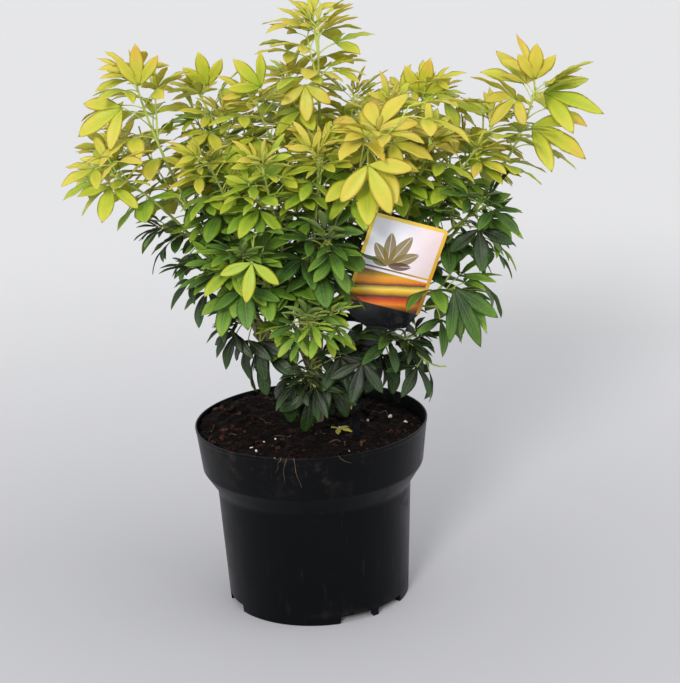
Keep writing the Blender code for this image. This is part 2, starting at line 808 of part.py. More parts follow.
def tube_surface(points, radii):
    """A four-sided tube along points, open at its ends, for tests."""
    verts, faces = [], []
    for i, point in enumerate(points):
        before, after = points[max(i - 1, 0)], points[min(i + 1, len(points) - 1)]
        first, second = square_to((after - before).normalized())
        radius = radii[0] + (radii[1] - radii[0]) * i / (len(points) - 1)
        verts += [point + first * radius, point + second * radius]
        verts += [point - first * radius, point - second * radius]
        if i:
            base = 4 * (i - 1)
            for j in range(4):
                k = (j + 1) % 4
                faces.append((base + j, base + k, base + k + 4, base + j + 4))
    return verts, faces


def leaf_places(shoot):
    """Place along the branch, azimuth and age of each pair of leaves, from the tip down."""
    places = []
    for pair in range(shoot.pairs + 1):
        share = STEM_JOINTS[3 - pair]
        azimuth = 45 + shoot.turn + 90 * pair
        places.append((pair, share, azimuth, PAIR_AGES[pair]))
    return places


def draws_for(shoot, pair, side):
    """The leaf's own random draws."""
    draw = random.Random(f"{shoot.name} {pair} {side}")
    return {
        "azimuth": draw.uniform(-12, 12),
        "lift": draw.uniform(-8, 8),
        "size": draw.uniform(0.90, 1.08),
        "roll": draw.uniform(-16, 16),
        "spread": draw.uniform(54, 66),
    }


def stands_clear_of_pot(verts):
    return all(
        v.z > LOWEST_LEAF or math.hypot(v.x, v.y) > LEAF_FREE_RADIUS for v in verts
    )


def grow_leaves(branches):
    """Leaves of every branch, pair by pair, each turned or made smaller until it is clear."""
    guard = Guard()
    guard.add("plant_label", *label_guard())
    for limb in LIMBS:
        guard.add("woody_base", *tube_surface(limb_points(limb), LIMB_RADII))
    for branch in branches:
        guard.add("woody_base", *tube_surface(branch.points(TWIG_JOINTS), TWIG_RADII))
        guard.add(branch.shoot.name, *tube_surface(branch.points(STEM_JOINTS), STEM_RADII))
    leaves = {branch.shoot.name: [] for branch in branches}
    for order in (1, 0, 2):
        for branch in branches:
            shoot = branch.shoot
            places = leaf_places(shoot)
            if order >= len(places):
                continue
            pair, share, azimuth, age = places[order]
            for side in (0, 1):
                leaf = place_leaf(guard, branch, share, azimuth + 180 * side, age, (pair, side))
                if leaf:
                    leaves[shoot.name].append(leaf)
    return leaves


def place_leaf(guard, branch, share, azimuth, age, key):
    shoot = branch.shoot
    draw = draws_for(shoot, *key)
    stations = YOUNG_STATIONS if age < 0.5 else GROWN_STATIONS
    for placing in PLACINGS:
        leaf = leaf_on_stem(branch, share, azimuth, age, draw, placing)
        verts, faces = leaf.surface(stations)
        if not stands_clear_of_pot(verts):
            continue
        whole = thick_shell(verts, faces, CLEARANCE)
        blade = thick_shell(verts, faces[PETIOLE_FACES:], CLEARANCE)
        if guard.is_clear(shoot.name, whole, blade):
            guard.add(shoot.name, verts, faces)
            return leaf, stations
    return None


def build_woody_base(branches, collection, material):
    """Trunk, limbs and the woody foot of every branch, in one piece."""
    foot = Vector((TRUNK_FOOT.x, TRUNK_FOOT.y, HOLE_FLOOR + GAP))
    bend = Vector((TRUNK_FOOT.x, TRUNK_FOOT.y, TRUNK_BEND_Z))
    trunk_points = [foot, bend, TRUNK_TOP]
    base = tube("woody_base", trunk_points, TRUNK_RADII, 2, collection, material)
    parts = []
    for limb in LIMBS:
        parts.append(tube("limb", limb_points(limb), LIMB_RADII, 1, collection, material))
    for branch in branches:
        points = branch.points(TWIG_JOINTS)
        parts.append(tube("twig", points, TWIG_RADII, 0, collection, material))
    fuse(base, parts)
    shade_round(base)
    return base


def leaf_solid(name, leaf, stations, collection, material):
    verts, faces = leaf.surface(stations)
    blade = mesh_object(name, verts, faces, collection, material)
    solidify = blade.modifiers.new("thickness", "SOLIDIFY")
    solidify.thickness = BLADE_THICKNESS
    solidify.offset = 0
    apply_modifiers(blade)
    return blade


def build_shoot(branch, leaves, collection, material):
    """One leafy stem with its petioles and leaves, in one piece."""
    points = branch.points(STEM_JOINTS)
    twig = branch.points(TWIG_JOINTS)
    heading = (points[1] - points[0]).normalized()
    kink = heading.angle(twig[-1] - twig[-2])
    points[0] = points[0] + heading * (GAP + STEM_RADII[0] * math.sin(kink)) / math.cos(kink)
    name = "shoot_" + branch.shoot.name
    stem = tube(name, points, STEM_RADII, 0, collection, material)
    parts = [leaf_solid("leaf", leaf, stations, collection, material) for leaf, stations in leaves]
    fuse(stem, parts)
    shade_round(stem, 60)
    return stem


def build_fallen_leaf(name, at, heading, length, soil, collection, material):
    """A small fallen leaf, let down until it lies on the soil."""
    along = Matrix.Rotation(math.radians(heading), 3, "Z") @ FRONT
    hub = Vector((*at, POT_HEIGHT))
    leaf = Leaf(
        root=hub - along * length * 0.5,
        hub=hub,
        along=along,
        normal=UP,
        length=length,
        width=length * 0.45,
        spread=math.radians(62),
        rise=math.radians(10),
        fall=math.radians(-24),
    )
    blade = leaf_solid(name, leaf, YOUNG_STATIONS, collection, material)
    ground = BVHTree.FromPolygons(
        [v.co for v in soil.data.vertices], [p.vertices for p in soil.data.polygons]
    )
    drops = []
    for polygon in blade.data.polygons:
        for corner in polygon.vertices:
            point = blade.data.vertices[corner].co
            drops.append(ground.ray_cast(point, -UP)[3])
        drops.append(ground.ray_cast(polygon.center, -UP)[3])
    blade.location.z = GAP - min(drops)
    shade_round(blade, 60)
    return blade


def main():
    clear_scene()
    part = new_collection("potted_mexican_orange_blossom")
    cutters = new_collection("cutters")
    materials = make_materials()
    build_pot(part, cutters, materials["pot"])
    soil = build_soil(part, cutters, materials["soil"])
    build_label(part, materials["label"])
    branches = grow_branches()
    leaves = grow_leaves(branches)
    build_woody_base(branches, part, materials["wood"])
    for branch in branches:
        shoot = branch.shoot
        build_shoot(branch, leaves[shoot.name], part, materials[shoot.tone])
    for name, at, heading, length in FALLEN_LEAVES:
        place = Vector(at) * MM
        build_fallen_leaf(name, place, heading, length * MM, soil, part, materials["gold"])
    remove_objects(list(cutters.objects))
    bpy.data.collections.remove(cutters)


main()
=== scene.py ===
"""Looks of the golden Mexican orange blossom in its nursery pot, with a plant label.

Everything is in metres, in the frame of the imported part: the origin is the middle of the
pot's underside, +Z is up and -Y is the front. The shoots grow here by the same rule and
the same draws as in the part, so that each fine shoot stands where its solid is.
"""

from __future__ import annotations

import logging
import math
import random
from dataclasses import dataclass, field
from enum import Enum
from typing import Callable, Iterable, Sequence

import bmesh
import bpy
import numpy as np
from bpy.types import Material, Mesh, Node, NodeSocket, NodeTree, Object
from mathutils import Matrix, Vector, noise
from mathutils.bvhtree import BVHTree


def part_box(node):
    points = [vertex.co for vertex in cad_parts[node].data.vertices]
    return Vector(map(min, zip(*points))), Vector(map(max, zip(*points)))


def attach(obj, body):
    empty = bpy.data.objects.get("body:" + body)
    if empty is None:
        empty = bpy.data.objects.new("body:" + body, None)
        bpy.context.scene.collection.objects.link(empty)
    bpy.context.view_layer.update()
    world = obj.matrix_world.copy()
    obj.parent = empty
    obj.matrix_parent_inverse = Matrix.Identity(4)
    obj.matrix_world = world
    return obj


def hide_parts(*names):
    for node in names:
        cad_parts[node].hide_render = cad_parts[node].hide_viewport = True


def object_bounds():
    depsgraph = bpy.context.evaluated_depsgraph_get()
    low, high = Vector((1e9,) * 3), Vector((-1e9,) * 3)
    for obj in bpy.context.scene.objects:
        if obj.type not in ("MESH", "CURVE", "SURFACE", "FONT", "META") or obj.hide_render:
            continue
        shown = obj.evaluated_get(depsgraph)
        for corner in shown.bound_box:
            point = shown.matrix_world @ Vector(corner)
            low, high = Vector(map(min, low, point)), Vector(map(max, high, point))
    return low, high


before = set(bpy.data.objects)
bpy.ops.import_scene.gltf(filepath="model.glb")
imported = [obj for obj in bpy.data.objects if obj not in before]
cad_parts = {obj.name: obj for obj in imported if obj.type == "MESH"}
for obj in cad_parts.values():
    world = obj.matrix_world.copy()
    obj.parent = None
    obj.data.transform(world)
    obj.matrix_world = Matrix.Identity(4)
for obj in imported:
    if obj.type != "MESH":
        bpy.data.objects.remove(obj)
CAD_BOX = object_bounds()
LOG = logging.getLogger("orange_blossom")

MM = 0.001
GAP = 0.3 * MM
UP = Vector((0, 0, 1))
FRONT = Vector((0, -1, 0))
BODY = "root"

# Sizes shared by more than one class, as in the part
SOIL_TOP = 170.0 * MM
TRUNK_FOOT = Vector((7, 24, 0)) * MM
TRUNK_TOP = Vector((8, 10, 208)) * MM
TWIG_SHARE = 0.38
LIMB_RADII = (4.6 * MM, 3.2 * MM)
TWIG_RADII = (2.6 * MM, 1.9 * MM)
STEM_RADII = (1.7 * MM, 0.9 * MM)
TWIG_JOINTS = (0.0, 0.19, TWIG_SHARE)
STEM_JOINTS = (TWIG_SHARE, 0.60, 0.80, 0.985, 1.0)
HUB_RADIUS = 1.3 * MM
SIDE_LEAFLET = 0.84
LIMB_HANDLES = (0.25, 0.35)
BRANCH_HANDLES = (0.30, 0.34)
LEAF_DRAWS = {
    "azimuth": (-12, 12),
    "lift": (-8, 8),
    "size": (0.90, 1.08),
    "roll": (-16, 16),
    "spread": (54, 66),
}

Triple = tuple[float, float, float]
Cell = tuple[float, float, float, float]
Stations = Sequence[tuple[float, float]]
Surface = tuple[list[Vector], list[tuple[int, ...]]]


class Tone(Enum):
    """How much light a shoot has grown in, as the middle of its leaves' shade of green."""

    GOLD = 0.90
    LIME = 0.64
    GREEN = 0.40
    DARK = 0.12

    @property
    def slot(self) -> str:
        """The record's material slot of this tone."""
        return "leaf_" + self.name.lower()

    @property
    def drop(self) -> float:
        """How much less golden the shoot's lowest leaves are."""
        return {"GOLD": 0.58, "LIME": 0.28, "GREEN": 0.12, "DARK": 0.06}[self.name]


@dataclass(frozen=True)
class Limb:
    """A woody limb: where it leaves the trunk, where it ends and where it heads."""

    name: str
    fork_height: float
    end: Triple
    heading: Triple


@dataclass(frozen=True)
class Shoot:
    """A leafy stem: its tip and heading in millimetres, and the leaves it carries."""

    name: str
    limb: str
    tip: Triple
    heading: Triple
    pairs: int
    leaf: float
    slim: float = 0.42
    droop: float = 34
    turn: float = 0
    tone: Tone = Tone.GOLD
    # Added to the leaves' tone: the shoot's own gilding, with painted light where it is raised and painted
    # shade where it is lowered.
    gilt_and_painted_light: float = 0.0
    most_pairs: int = 10


LIMBS = (
    Limb("left", 192, (-50, -4, 272), (-0.6, -0.1, 0.8)),
    Limb("front", 196, (-4, -42, 264), (-0.1, -0.6, 0.8)),
    Limb("right", 200, (66, -8, 268), (0.6, -0.1, 0.8)),
    Limb("back", 203, (6, 58, 274), (0.0, 0.6, 0.8)),
    Limb("crown", 204, (20, 12, 330), (0.1, 0.0, 1.0)),
)

LIME, GREEN, DARK = Tone.LIME, Tone.GREEN, Tone.DARK
# Raised tone lifts are painted light, most of all on right_dark and right_low, which other shoots shade; the
# lowered ones of low_left, low_front and right_lowest are painted shade.
SHOOTS = (
    Shoot("top_sprig", "crown", (25, 0, 562), (0.05, -0.1, 1), 2, 46, turn=15),
    Shoot("top_left", "crown", (-91, 30, 502), (-0.4, 0.1, 0.9), 1, 42),
    Shoot("top_inner_left", "crown", (-36, -20, 500), (-0.2, -0.35, 0.9), 1, 42),
    Shoot("top_back", "crown", (-3, 50, 508), (0, 0.35, 0.9), 1, 42),
    Shoot("top_middle", "crown", (55, 25, 490), (0.1, 0.05, 1), 1, 42, turn=40),
    Shoot("top_front", "crown", (88, -35, 488), (0.2, -0.4, 0.85), 1, 42),
    Shoot("top_right", "crown", (126, 30, 488), (0.45, 0.1, 0.85), 1, 42),
    Shoot("left_shoulder", "left", (-148, 5, 522), (-0.2, 0, 0.95), 1, 50, droop=46, turn=-10),
    Shoot("far_left", "left", (-174, -30, 440), (-0.8, -0.25, 0.5), 1, 50, droop=30, turn=60, gilt_and_painted_light=0.05,
          most_pairs=4),
    Shoot("left_dark", "left", (-130, -5, 382), (-0.7, -0.1, 0.4), 2, 38, 0.26, 50, tone=DARK),
    Shoot("left_upper", "left", (-95, 55, 468), (-0.4, 0.3, 0.8), 1, 42, tone=LIME),
    Shoot("left_low", "left", (-100, -50, 352), (-0.6, -0.5, 0.4), 1, 37, 0.30, 45, tone=DARK),
    Shoot("left_front", "left", (-84, -55, 452), (-0.3, -0.45, 0.8), 1, 42),
    Shoot("left_back", "left", (-172, 70, 440), (-0.8, 0.3, 0.4), 1, 44, turn=30),
    Shoot("front_lime", "front", (-53, -112, 376), (-0.25, -0.8, 0.45), 2, 42, tone=LIME, gilt_and_painted_light=0.08),
    Shoot("front_young", "front", (2, -122, 316), (0, -0.85, 0.35), 2, 32, 0.30, tone=LIME, gilt_and_painted_light=0.12),
    Shoot("front_yellow", "front", (70, -98, 478), (0.2, -0.75, 0.6), 2, 54, 0.50, 44, 45, gilt_and_painted_light=0.13),
    Shoot("front_green", "front", (22, -98, 384), (0.05, -0.8, 0.5), 2, 44, tone=GREEN),
    Shoot("front_upper_left", "front", (-32, -85, 450), (-0.1, -0.55, 0.8), 1, 42),
    Shoot("front_upper", "front", (18, -78, 455), (0, -0.5, 0.85), 1, 40),
    Shoot("low_left", "front", (-62, -70, 305), (-0.5, -0.6, 0.1), 1, 42, 0.36, 50, tone=DARK, gilt_and_painted_light=-0.07),
    Shoot("low_front", "front", (2, -72, 248), (-0.1, -0.8, -0.1), 2, 44, 0.34, 50, 30, DARK, -0.09),
    Shoot("right_upper", "right", (122, -55, 460), (0.3, -0.4, 0.85), 1, 42),
    Shoot("right_front", "right", (163, -45, 448), (0.5, -0.35, 0.75), 1, 42),
    Shoot("right_green", "right", (170, -45, 394), (0.6, -0.5, 0.4), 1, 44, tone=GREEN),
    Shoot("right_sprig", "right", (225, 0, 496), (0.3, 0, 0.95), 1, 64, droop=30, turn=15, gilt_and_painted_light=0.04),
    Shoot("right_back", "right", (192, 48, 458), (0.5, 0.3, 0.75), 1, 42),
    Shoot("right_dark", "right", (174, -10, 362), (0.7, -0.1, 0.25), 1, 44, 0.28, 55, tone=DARK, gilt_and_painted_light=0.24),
    Shoot("right_low", "right", (138, -45, 316), (0.6, -0.4, 0), 1, 54, 0.32, 50, tone=DARK, gilt_and_painted_light=0.22),
    Shoot("right_lowest", "right", (94, -38, 268), (0.5, -0.3, -0.2), 2, 42, 0.32, 50, 20, DARK, -0.04),
    Shoot("back_left", "back", (-95, 112, 428), (-0.5, 0.6, 0.6), 1, 44),
    Shoot("back_middle", "back", (-8, 142, 448), (0, 0.6, 0.8), 1, 44),
    Shoot("back_right", "back", (85, 125, 455), (0.4, 0.5, 0.75), 1, 44),
    Shoot("back_far_right", "back", (150, 92, 418), (0.6, 0.5, 0.5), 1, 44, tone=LIME),
    Shoot("back_low_left", "back", (-74, 112, 342), (-0.5, 0.7, 0.2), 1, 48, 0.36, 45, tone=DARK),
    Shoot("back_low_right", "back", (62, 120, 336), (0.4, 0.8, 0.1), 1, 48, 0.36, 45, tone=DARK),
)


@dataclass(frozen=True)
class SeenLeaf:
    """A leaf that stands out in the front view: its stem, hub, heading and facing."""

    shoot: str
    share: float
    hub: Triple
    along: Triple
    normal: Triple
    length: float
    spread: float = 45
    slim: float = 0.42
    droop: float = 30
    # Added to the leaf's tone as on its shoot: gilding with painted light.
    gilt_and_painted_light: float = 0.0


SEEN_LEAVES = tuple(SeenLeaf(*row) for row in (
    ("right_sprig", 0.965, (231, -8, 492), (0.93, -0.28, -0.20), (0.1, -0.65, 0.7), 60, 42, 0.33),
    ("right_sprig", 0.86, (219, -12, 462), (0.88, -0.25, -0.40), (0.15, -0.6, 0.75), 60, 46, 0.32),
    ("right_sprig", 0.95, (206, -8, 490), (-0.7, -0.3, -0.60), (-0.2, -0.7, 0.65), 38, 52, 0.36),
    ("left_shoulder", 0.84, (-159, -18, 494), (-0.9, -0.12, -0.42), (-0.1, -0.75, 0.6), 50, 42, 0.34),
    ("low_front", 0.80, (30, -74, 266), (0.35, -0.4, -0.85), (0.2, -0.9, 0.3), 44, 50, 0.34, 20),
    ("right_lowest", 0.70, (50, -64, 262), (-0.3, -0.4, -0.85), (0.0, -0.9, 0.35), 40, 50, 0.34, 20),
    ("right_low", 0.97, (138, -62, 326), (0.40, -0.25, -0.88), (0.2, -0.9, 0.35), 60, 32, 0.26, 20, 0.07),
    ("front_yellow", 0.90, (61, -126, 457), (0.40, -0.3, -0.86), (0.0, -0.9, 0.4), 48, 62, 0.38, 24, 0.06),
    ("left_shoulder", 0.98, (-142, -16, 519), (-0.02, -0.25, 0.95), (0, -0.9, 0.35), 41, 33, 0.32, 8),
    ("top_left", 0.98, (-81, 16, 509), (-0.15, -0.25, 0.92), (0, -0.9, 0.35), 35, 38, 0.36, 8),
    ("top_right", 0.98, (118, 14, 489), (0.25, -0.25, 0.90), (0, -0.9, 0.35), 40, 40, 0.34, 8),
    ("right_sprig", 0.99, (223, -8, 504), (0.05, -0.25, 0.95), (0, -0.9, 0.35), 36, 33, 0.38, 8),
    ("top_inner_left", 0.98, (-30, -22, 512), (-0.6, -0.25, 0.70), (0, -0.9, 0.35), 38, 42, 0.34, 10),
    ("top_sprig", 0.60, (10, -30, 514), (0.02, -0.35, -0.90), (0, -0.9, 0.35), 34, 52, 0.40, 20),
    ("front_lime", 0.93, (-45, -126, 378), (-0.2, -0.35, -0.9), (0.0, -0.9, 0.4), 36, 60, 0.36, 24, 0.28),
))


def linear(red: int, green: int, blue: int) -> tuple:
    """A display colour of 0 to 255 a channel as a linear one.

    Args:
        red: Red.
        green: Green.
        blue: Blue.

    Returns:
        Red, green, blue and an alpha of 1.
    """
    shares = [channel / 255 for channel in (red, green, blue)]
    lines = [s / 12.92 if s <= 0.04045 else ((s + 0.055) / 1.055) ** 2.4 for s in shares]
    return lines[0], lines[1], lines[2], 1.0


# Node trees


class Value:
    """What a node puts out, which other nodes reckon with."""

    def __init__(self, tree: Tree, socket: NodeSocket) -> None:
        """Holds the socket and the tree it is in."""
        self.tree = tree
        self.socket = socket

    def __add__(self, other: Value | float) -> Value:
        """The sum."""
        return self.tree.math("ADD", self, other)

    def __sub__(self, other: Value | float) -> Value:
        """The difference."""
        return self.tree.math("SUBTRACT", self, other)

    def __rsub__(self, other: float) -> Value:
        """A number less this value."""
        return self.tree.math("SUBTRACT", other, self)

    def __mul__(self, other: Value | float) -> Value:
        """The product."""
        return self.tree.math("MULTIPLY", self, other)

    def __truediv__(self, other: Value | float) -> Value:
        """The quotient."""
        return self.tree.math("DIVIDE", self, other)

    def __abs__(self) -> Value:
        """The distance from zero."""
        return self.tree.math("ABSOLUTE", self)

    def step(self, low: float, high: float, start: float = 0, stop: float = 1) -> Value:
        """A soft step from start to stop, as the value goes from low to high."""
        inputs = {"Value": self, "From Min": low, "From Max": high, "To Min": start, "To Max": stop}
        return self.tree.value("MapRange", inputs, interpolation_type="SMOOTHSTEP")


class Tree:
    """Places and links the nodes of one node tree."""

    def __init__(self, tree: NodeTree) -> None:
        """Works on a tree, which it doesn't empty."""
        self.tree = tree

    def node(self, kind: str, inputs: dict, **settings: object) -> Node:
        """Adds a node.

        Args:
            kind: The node's type without its ShaderNode prefix.
            inputs: Numbers, colours or values by the name or number of the input.
            **settings: The node's own settings.

        Returns:
            The node.
        """
        node = self.tree.nodes.new("ShaderNode" + kind)
        for name, value in settings.items():
            setattr(node, name, value)
        for name, value in inputs.items():
            self.feed(node.inputs[name], value)
        return node

    def value(self, kind: str, inputs: dict, output: int | str = 0, **settings: object) -> Value:
        """What an output of a new node gives."""
        return Value(self, self.node(kind, inputs, **settings).outputs[output])

    def feed(self, socket: NodeSocket, value: object) -> None:
        """Links a value to the socket, or sets the socket's own."""
        if isinstance(value, Value):
            self.tree.links.new(value.socket, socket)
        else:
            socket.default_value = value

    def math(self, operation: str, a: object, b: object = 0.0, clamp: bool = False) -> Value:
        """The result of a Math node."""
        return self.value("Math", {0: a, 1: b}, operation=operation, use_clamp=clamp)

    def mix(self, share: object, a: object, b: object, blend: str = "MIX") -> Value:
        """Two colours mixed, or blended in another way."""
        return self.value("Mix", {0: share, 6: a, 7: b}, 2, data_type="RGBA", blend_type=blend)

    def ramp(self, share: Value, stops: Sequence[tuple[float, tuple]]) -> Value:
        """A colour ramp with a colour at each of its stops.

        Args:
            share: Where on the ramp.
            stops: Place and colour of each stop.

        Returns:
            The colour.
        """
        node = self.node("ValToRGB", {0: share})
        elements = node.color_ramp.elements
        while len(elements) < len(stops):
            elements.new(0.5)
        for element, (position, colour) in zip(elements, stops):
            element.position = position
            element.color = colour
        return Value(self, node.outputs[0])

    def noise(self, where: Value, scale: object, detail: float = 2.0, rough: float = 0.5) -> Value:
        """The value of a noise texture, about 0.5 on the whole."""
        return self.value("TexNoise", {"Vector": where, "Scale": scale, "Detail": detail, "Roughness": rough})

    def drawn_out(self, where: Value, height: float) -> Value:
        """Coordinates with the heights scaled, so that what is drawn on them is tall."""
        return self.value("Mapping", {"Vector": where, "Scale": (1.0, 1.0, height)})

    def split(self, vector: Value) -> list[Value]:
        """The three parts of a vector."""
        return [Value(self, socket) for socket in self.node("SeparateXYZ", {0: vector}).outputs]

    def use(self, group: NodeTree, inputs: dict[str, object]) -> dict[str, Value]:
        """Places a group, and gives what it puts out by name."""
        node = self.node("Group", inputs, node_tree=group)
        return {socket.name: Value(self, socket) for socket in node.outputs}


class Group(Tree):
    """A node group in the making."""

    def __init__(self, name: str, inputs: dict[str, float | None]) -> None:
        """Starts the group.

        Args:
            name: Its name.
            inputs: First value of each input by name, with None for a vector.
        """
        super().__init__(bpy.data.node_groups.new(name, "ShaderNodeTree"))
        for title, first in inputs.items():
            self.add_socket(title, "INPUT", "Vector" if first is None else "Float", first)
        entry = self.tree.nodes.new("NodeGroupInput")
        self.entry = {title: Value(self, entry.outputs[title]) for title in inputs}

    def add_socket(self, title: str, way: str, kind: str, first: float | None = None) -> None:
        """Adds a named input or output."""
        socket = self.tree.interface.new_socket(title, in_out=way, socket_type="NodeSocket" + kind)
        if first is not None:
            socket.default_value = first

    def close(self, outputs: dict[str, Value]) -> NodeTree:
        """Puts the named numbers out, and gives the finished group."""
        for title in outputs:
            self.add_socket(title, "OUTPUT", "Float")
        leave = self.tree.nodes.new("NodeGroupOutput")
        for title, value in outputs.items():
            self.feed(leave.inputs[title], value)
        return self.tree


class Effects:
    """Shader node groups that more than one material uses, each built once."""

    def __init__(self) -> None:
        """Builds the groups."""
        self.veins = self.build_veins()
        self.mottle = self.build_mottle()
        self.scuffs = self.build_scuffs()

    @staticmethod
    def build_veins() -> NodeTree:
        """Midrib and side veins of a leaflet, from its own along and across."""
        group = Group("leaf_veins", {"Blade": None, "Pitch": 9.0})
        along, across, off_rib = group.split(group.entry["Blade"])
        off = abs(across)
        turns = (along - off * 0.17) * group.entry["Pitch"]
        beat = abs(group.math("FRACT", turns) - 0.5)
        side_veins = beat.step(0.0, 0.11, 1, 0) * off.step(0.75, 1.0, 1, 0)
        return group.close({"Rib": off_rib.step(0.25, 0.75, 1, 0), "Side Veins": side_veins})

    @staticmethod
    def build_mottle() -> NodeTree:
        """Soft patches of two sizes, from 0 to 1."""
        group = Group("mottle", {"Vector": None, "Scale": 40.0, "Contrast": 1.0})
        where, scale = group.entry["Vector"], group.entry["Scale"]
        both = group.noise(where, scale) * 0.65 + group.noise(where, scale * 4.3, 4.0, 0.6) * 0.35
        centred = (both - 0.5) * group.entry["Contrast"]
        return group.close({"Patches": group.math("ADD", centred, 0.5, clamp=True)})

    @staticmethod
    def build_scuffs() -> NodeTree:
        """Thin scratches and rubbed spots of moulded plastic, from 0 to 1."""
        group = Group("scuffs", {"Vector": None, "Scale": 60.0})
        where, scale = group.entry["Vector"], group.entry["Scale"]
        streaks = group.noise(group.drawn_out(where, 0.16), scale * 5.0, 5.0, 0.72)
        spots = group.noise(where, scale, 6.0, 0.68)
        return group.close({"Scratches": streaks.step(0.60, 0.72), "Rubbed": spots.step(0.52, 0.74)})


class MaterialTree(Tree):
    """The nodes of a new material around its Principled shader."""

    def __init__(self, finish: Finish, effects: Effects) -> None:
        """Starts the material.

        Args:
            finish: Gives its name and its constant values.
            effects: The shared groups.
        """
        self.material = bpy.data.materials.new(finish.name)
        self.material.use_nodes = True
        super().__init__(self.material.node_tree)
        self.effects = effects
        self.shader = self.tree.nodes["Principled BSDF"]
        self.shader.inputs["Roughness"].default_value = finish.roughness
        self.shader.inputs["Specular IOR Level"].default_value = finish.specular
        self.place = self.value("TexCoord", {}, "Object")

    def mark(self, name: str, output: str = "Fac") -> Value:
        """What the mesh says at each point under a name."""
        return self.value("Attribute", {}, output, attribute_name=name)

    def patches(self, scale: float, contrast: float = 1.0) -> Value:
        """Soft patches at a scale."""
        inputs = {"Vector": self.place, "Scale": scale, "Contrast": contrast}
        return self.use(self.effects.mottle, inputs)["Patches"]

    def scuffs(self, scale: float) -> dict[str, Value]:
        """Scratches and rubbed spots at a scale."""
        return self.use(self.effects.scuffs, {"Vector": self.place, "Scale": scale})

    def paint(self, colour: Value, roughness: Value) -> None:
        """Feeds the shader's colour and roughness."""
        self.feed(self.shader.inputs["Base Color"], colour)
        self.feed(self.shader.inputs["Roughness"], roughness)

    def emboss(self, relief: Value, depth: float, strength: float = 1.0) -> None:
        """Tilts the surface by a relief of 0 to 1, which stands for the depth."""
        normal = self.value("Bump", {"Height": relief, "Distance": depth, "Strength": strength})
        self.feed(self.shader.inputs["Normal"], normal)


# Finishes


@dataclass(frozen=True)
class Finish:
    """What every finish has: a name, and a material with one Principled shader."""

    name: str
    roughness: float = 0.5
    specular: float = 0.5

    def build(self, effects: Effects) -> Material:
        """Makes the material with the shared groups."""
        surface = MaterialTree(self, effects)
        self.dress(surface)
        return surface.material

    def dress(self, surface: MaterialTree) -> None:
        """Adds the finish's own nodes."""
        raise NotImplementedError


@dataclass(frozen=True)
class LeafFinish(Finish):
    """Leaf blades, from dark green through lime to gold, with veins and a paler back; the darkest end of the
    ramp is painted shade.
    """

    roughness: float = 0.46
    glow: float = 0.38
    dry: float = 0.0
    stops: tuple = (
        # The first stop is painted shade: darker than a dark green leaf, for the low inner leaves in shadow.
        (0.00, linear(14, 30, 13)),
        (0.16, linear(42, 77, 27)),
        (0.34, linear(90, 133, 40)),
        (0.52, linear(138, 176, 47)),
        (0.68, linear(180, 198, 52)),
        (0.84, linear(206, 207, 62)),
        (1.00, linear(224, 209, 84)),
    )
    tinge: tuple = linear(228, 150, 40)
    vein: tuple = linear(224, 228, 130)
    backs: tuple = (linear(120, 140, 92), linear(226, 218, 130))
    dead: tuple = linear(120, 84, 40)
    sap: tuple = (1.0, 0.98, 0.45, 1.0)

    def dress(self, surface: MaterialTree) -> None:
        """Colours a blade by its sun, age and veins, and lets light through it.

        Args:
            surface: The material in the making.
        """
        blade = surface.mark("blade", "Vector")
        along, across, _ = surface.split(blade)
        sun, under = surface.mark("sun"), surface.mark("under")
        patches = surface.patches(45.0)
        colour = self.green(surface, along, across, sun, patches)
        veins = surface.use(surface.effects.veins, {"Blade": blade, "Pitch": 9.0})
        rib = veins["Rib"] * sun.step(0.0, 0.7, 0.08, 0.26)
        lines = surface.math("MAXIMUM", rib, veins["Side Veins"] * 0.07)
        colour = surface.mix(lines, colour, self.vein)
        colour = surface.mix(abs(across).step(0.90, 1.0, 0.0, 0.10), colour, self.vein)
        back = surface.mix(sun.step(0.1, 0.8), *self.backs)
        colour = surface.mix(under * 0.42, colour, back)
        if self.dry:
            colour = surface.mix(patches.step(0.42, 0.7) * self.dry, colour, self.dead)
        gloss = patches.step(0.3, 0.7, -0.06, 0.08) + self.roughness
        surface.paint(colour, gloss + under * 0.2)
        fine = surface.noise(surface.place, 900.0)
        relief = veins["Side Veins"] * -0.35 + fine * 0.25 + patches * 0.8
        surface.emboss(relief, 0.35 * MM, 0.8)
        shone = surface.mix(1.0, colour, self.sap, "MULTIPLY")
        through = surface.value("BsdfTranslucent", {"Color": shone})
        shader = Value(surface, surface.shader.outputs[0])
        mixed = surface.value("MixShader", {0: self.glow, 1: shader, 2: through})
        surface.feed(surface.tree.nodes["Material Output"].inputs["Surface"], mixed)

    def green(self, surface: MaterialTree, along: Value, across: Value, sun: Value, patches: Value) -> Value:
        """The upper side's colour without its veins.

        Args:
            surface: The material in the making.
            along: How far along the leaflet.
            across: How far across it, from -1 to 1.
            sun: How golden the leaf is.
            patches: Soft patches.

        Returns:
            The colour, with an orange tinge at the tips of a few golden leaves.
        """
        uneven = (patches - 0.5) * 0.34
        towards_tip = (along - 0.45) * 0.26
        near_rib = abs(across).step(0.0, 0.45, -0.07, 0.02)
        colour = surface.ramp((sun + uneven) + (towards_tip + near_rib), self.stops)
        golden = surface.mark("draw").step(0.55, 1.0) * sun.step(0.72, 0.92)
        blush = golden * along.step(0.45, 0.95) * patches.step(0.35, 0.65, 0.35, 1.0)
        return surface.mix(blush * 0.55, colour, self.tinge)


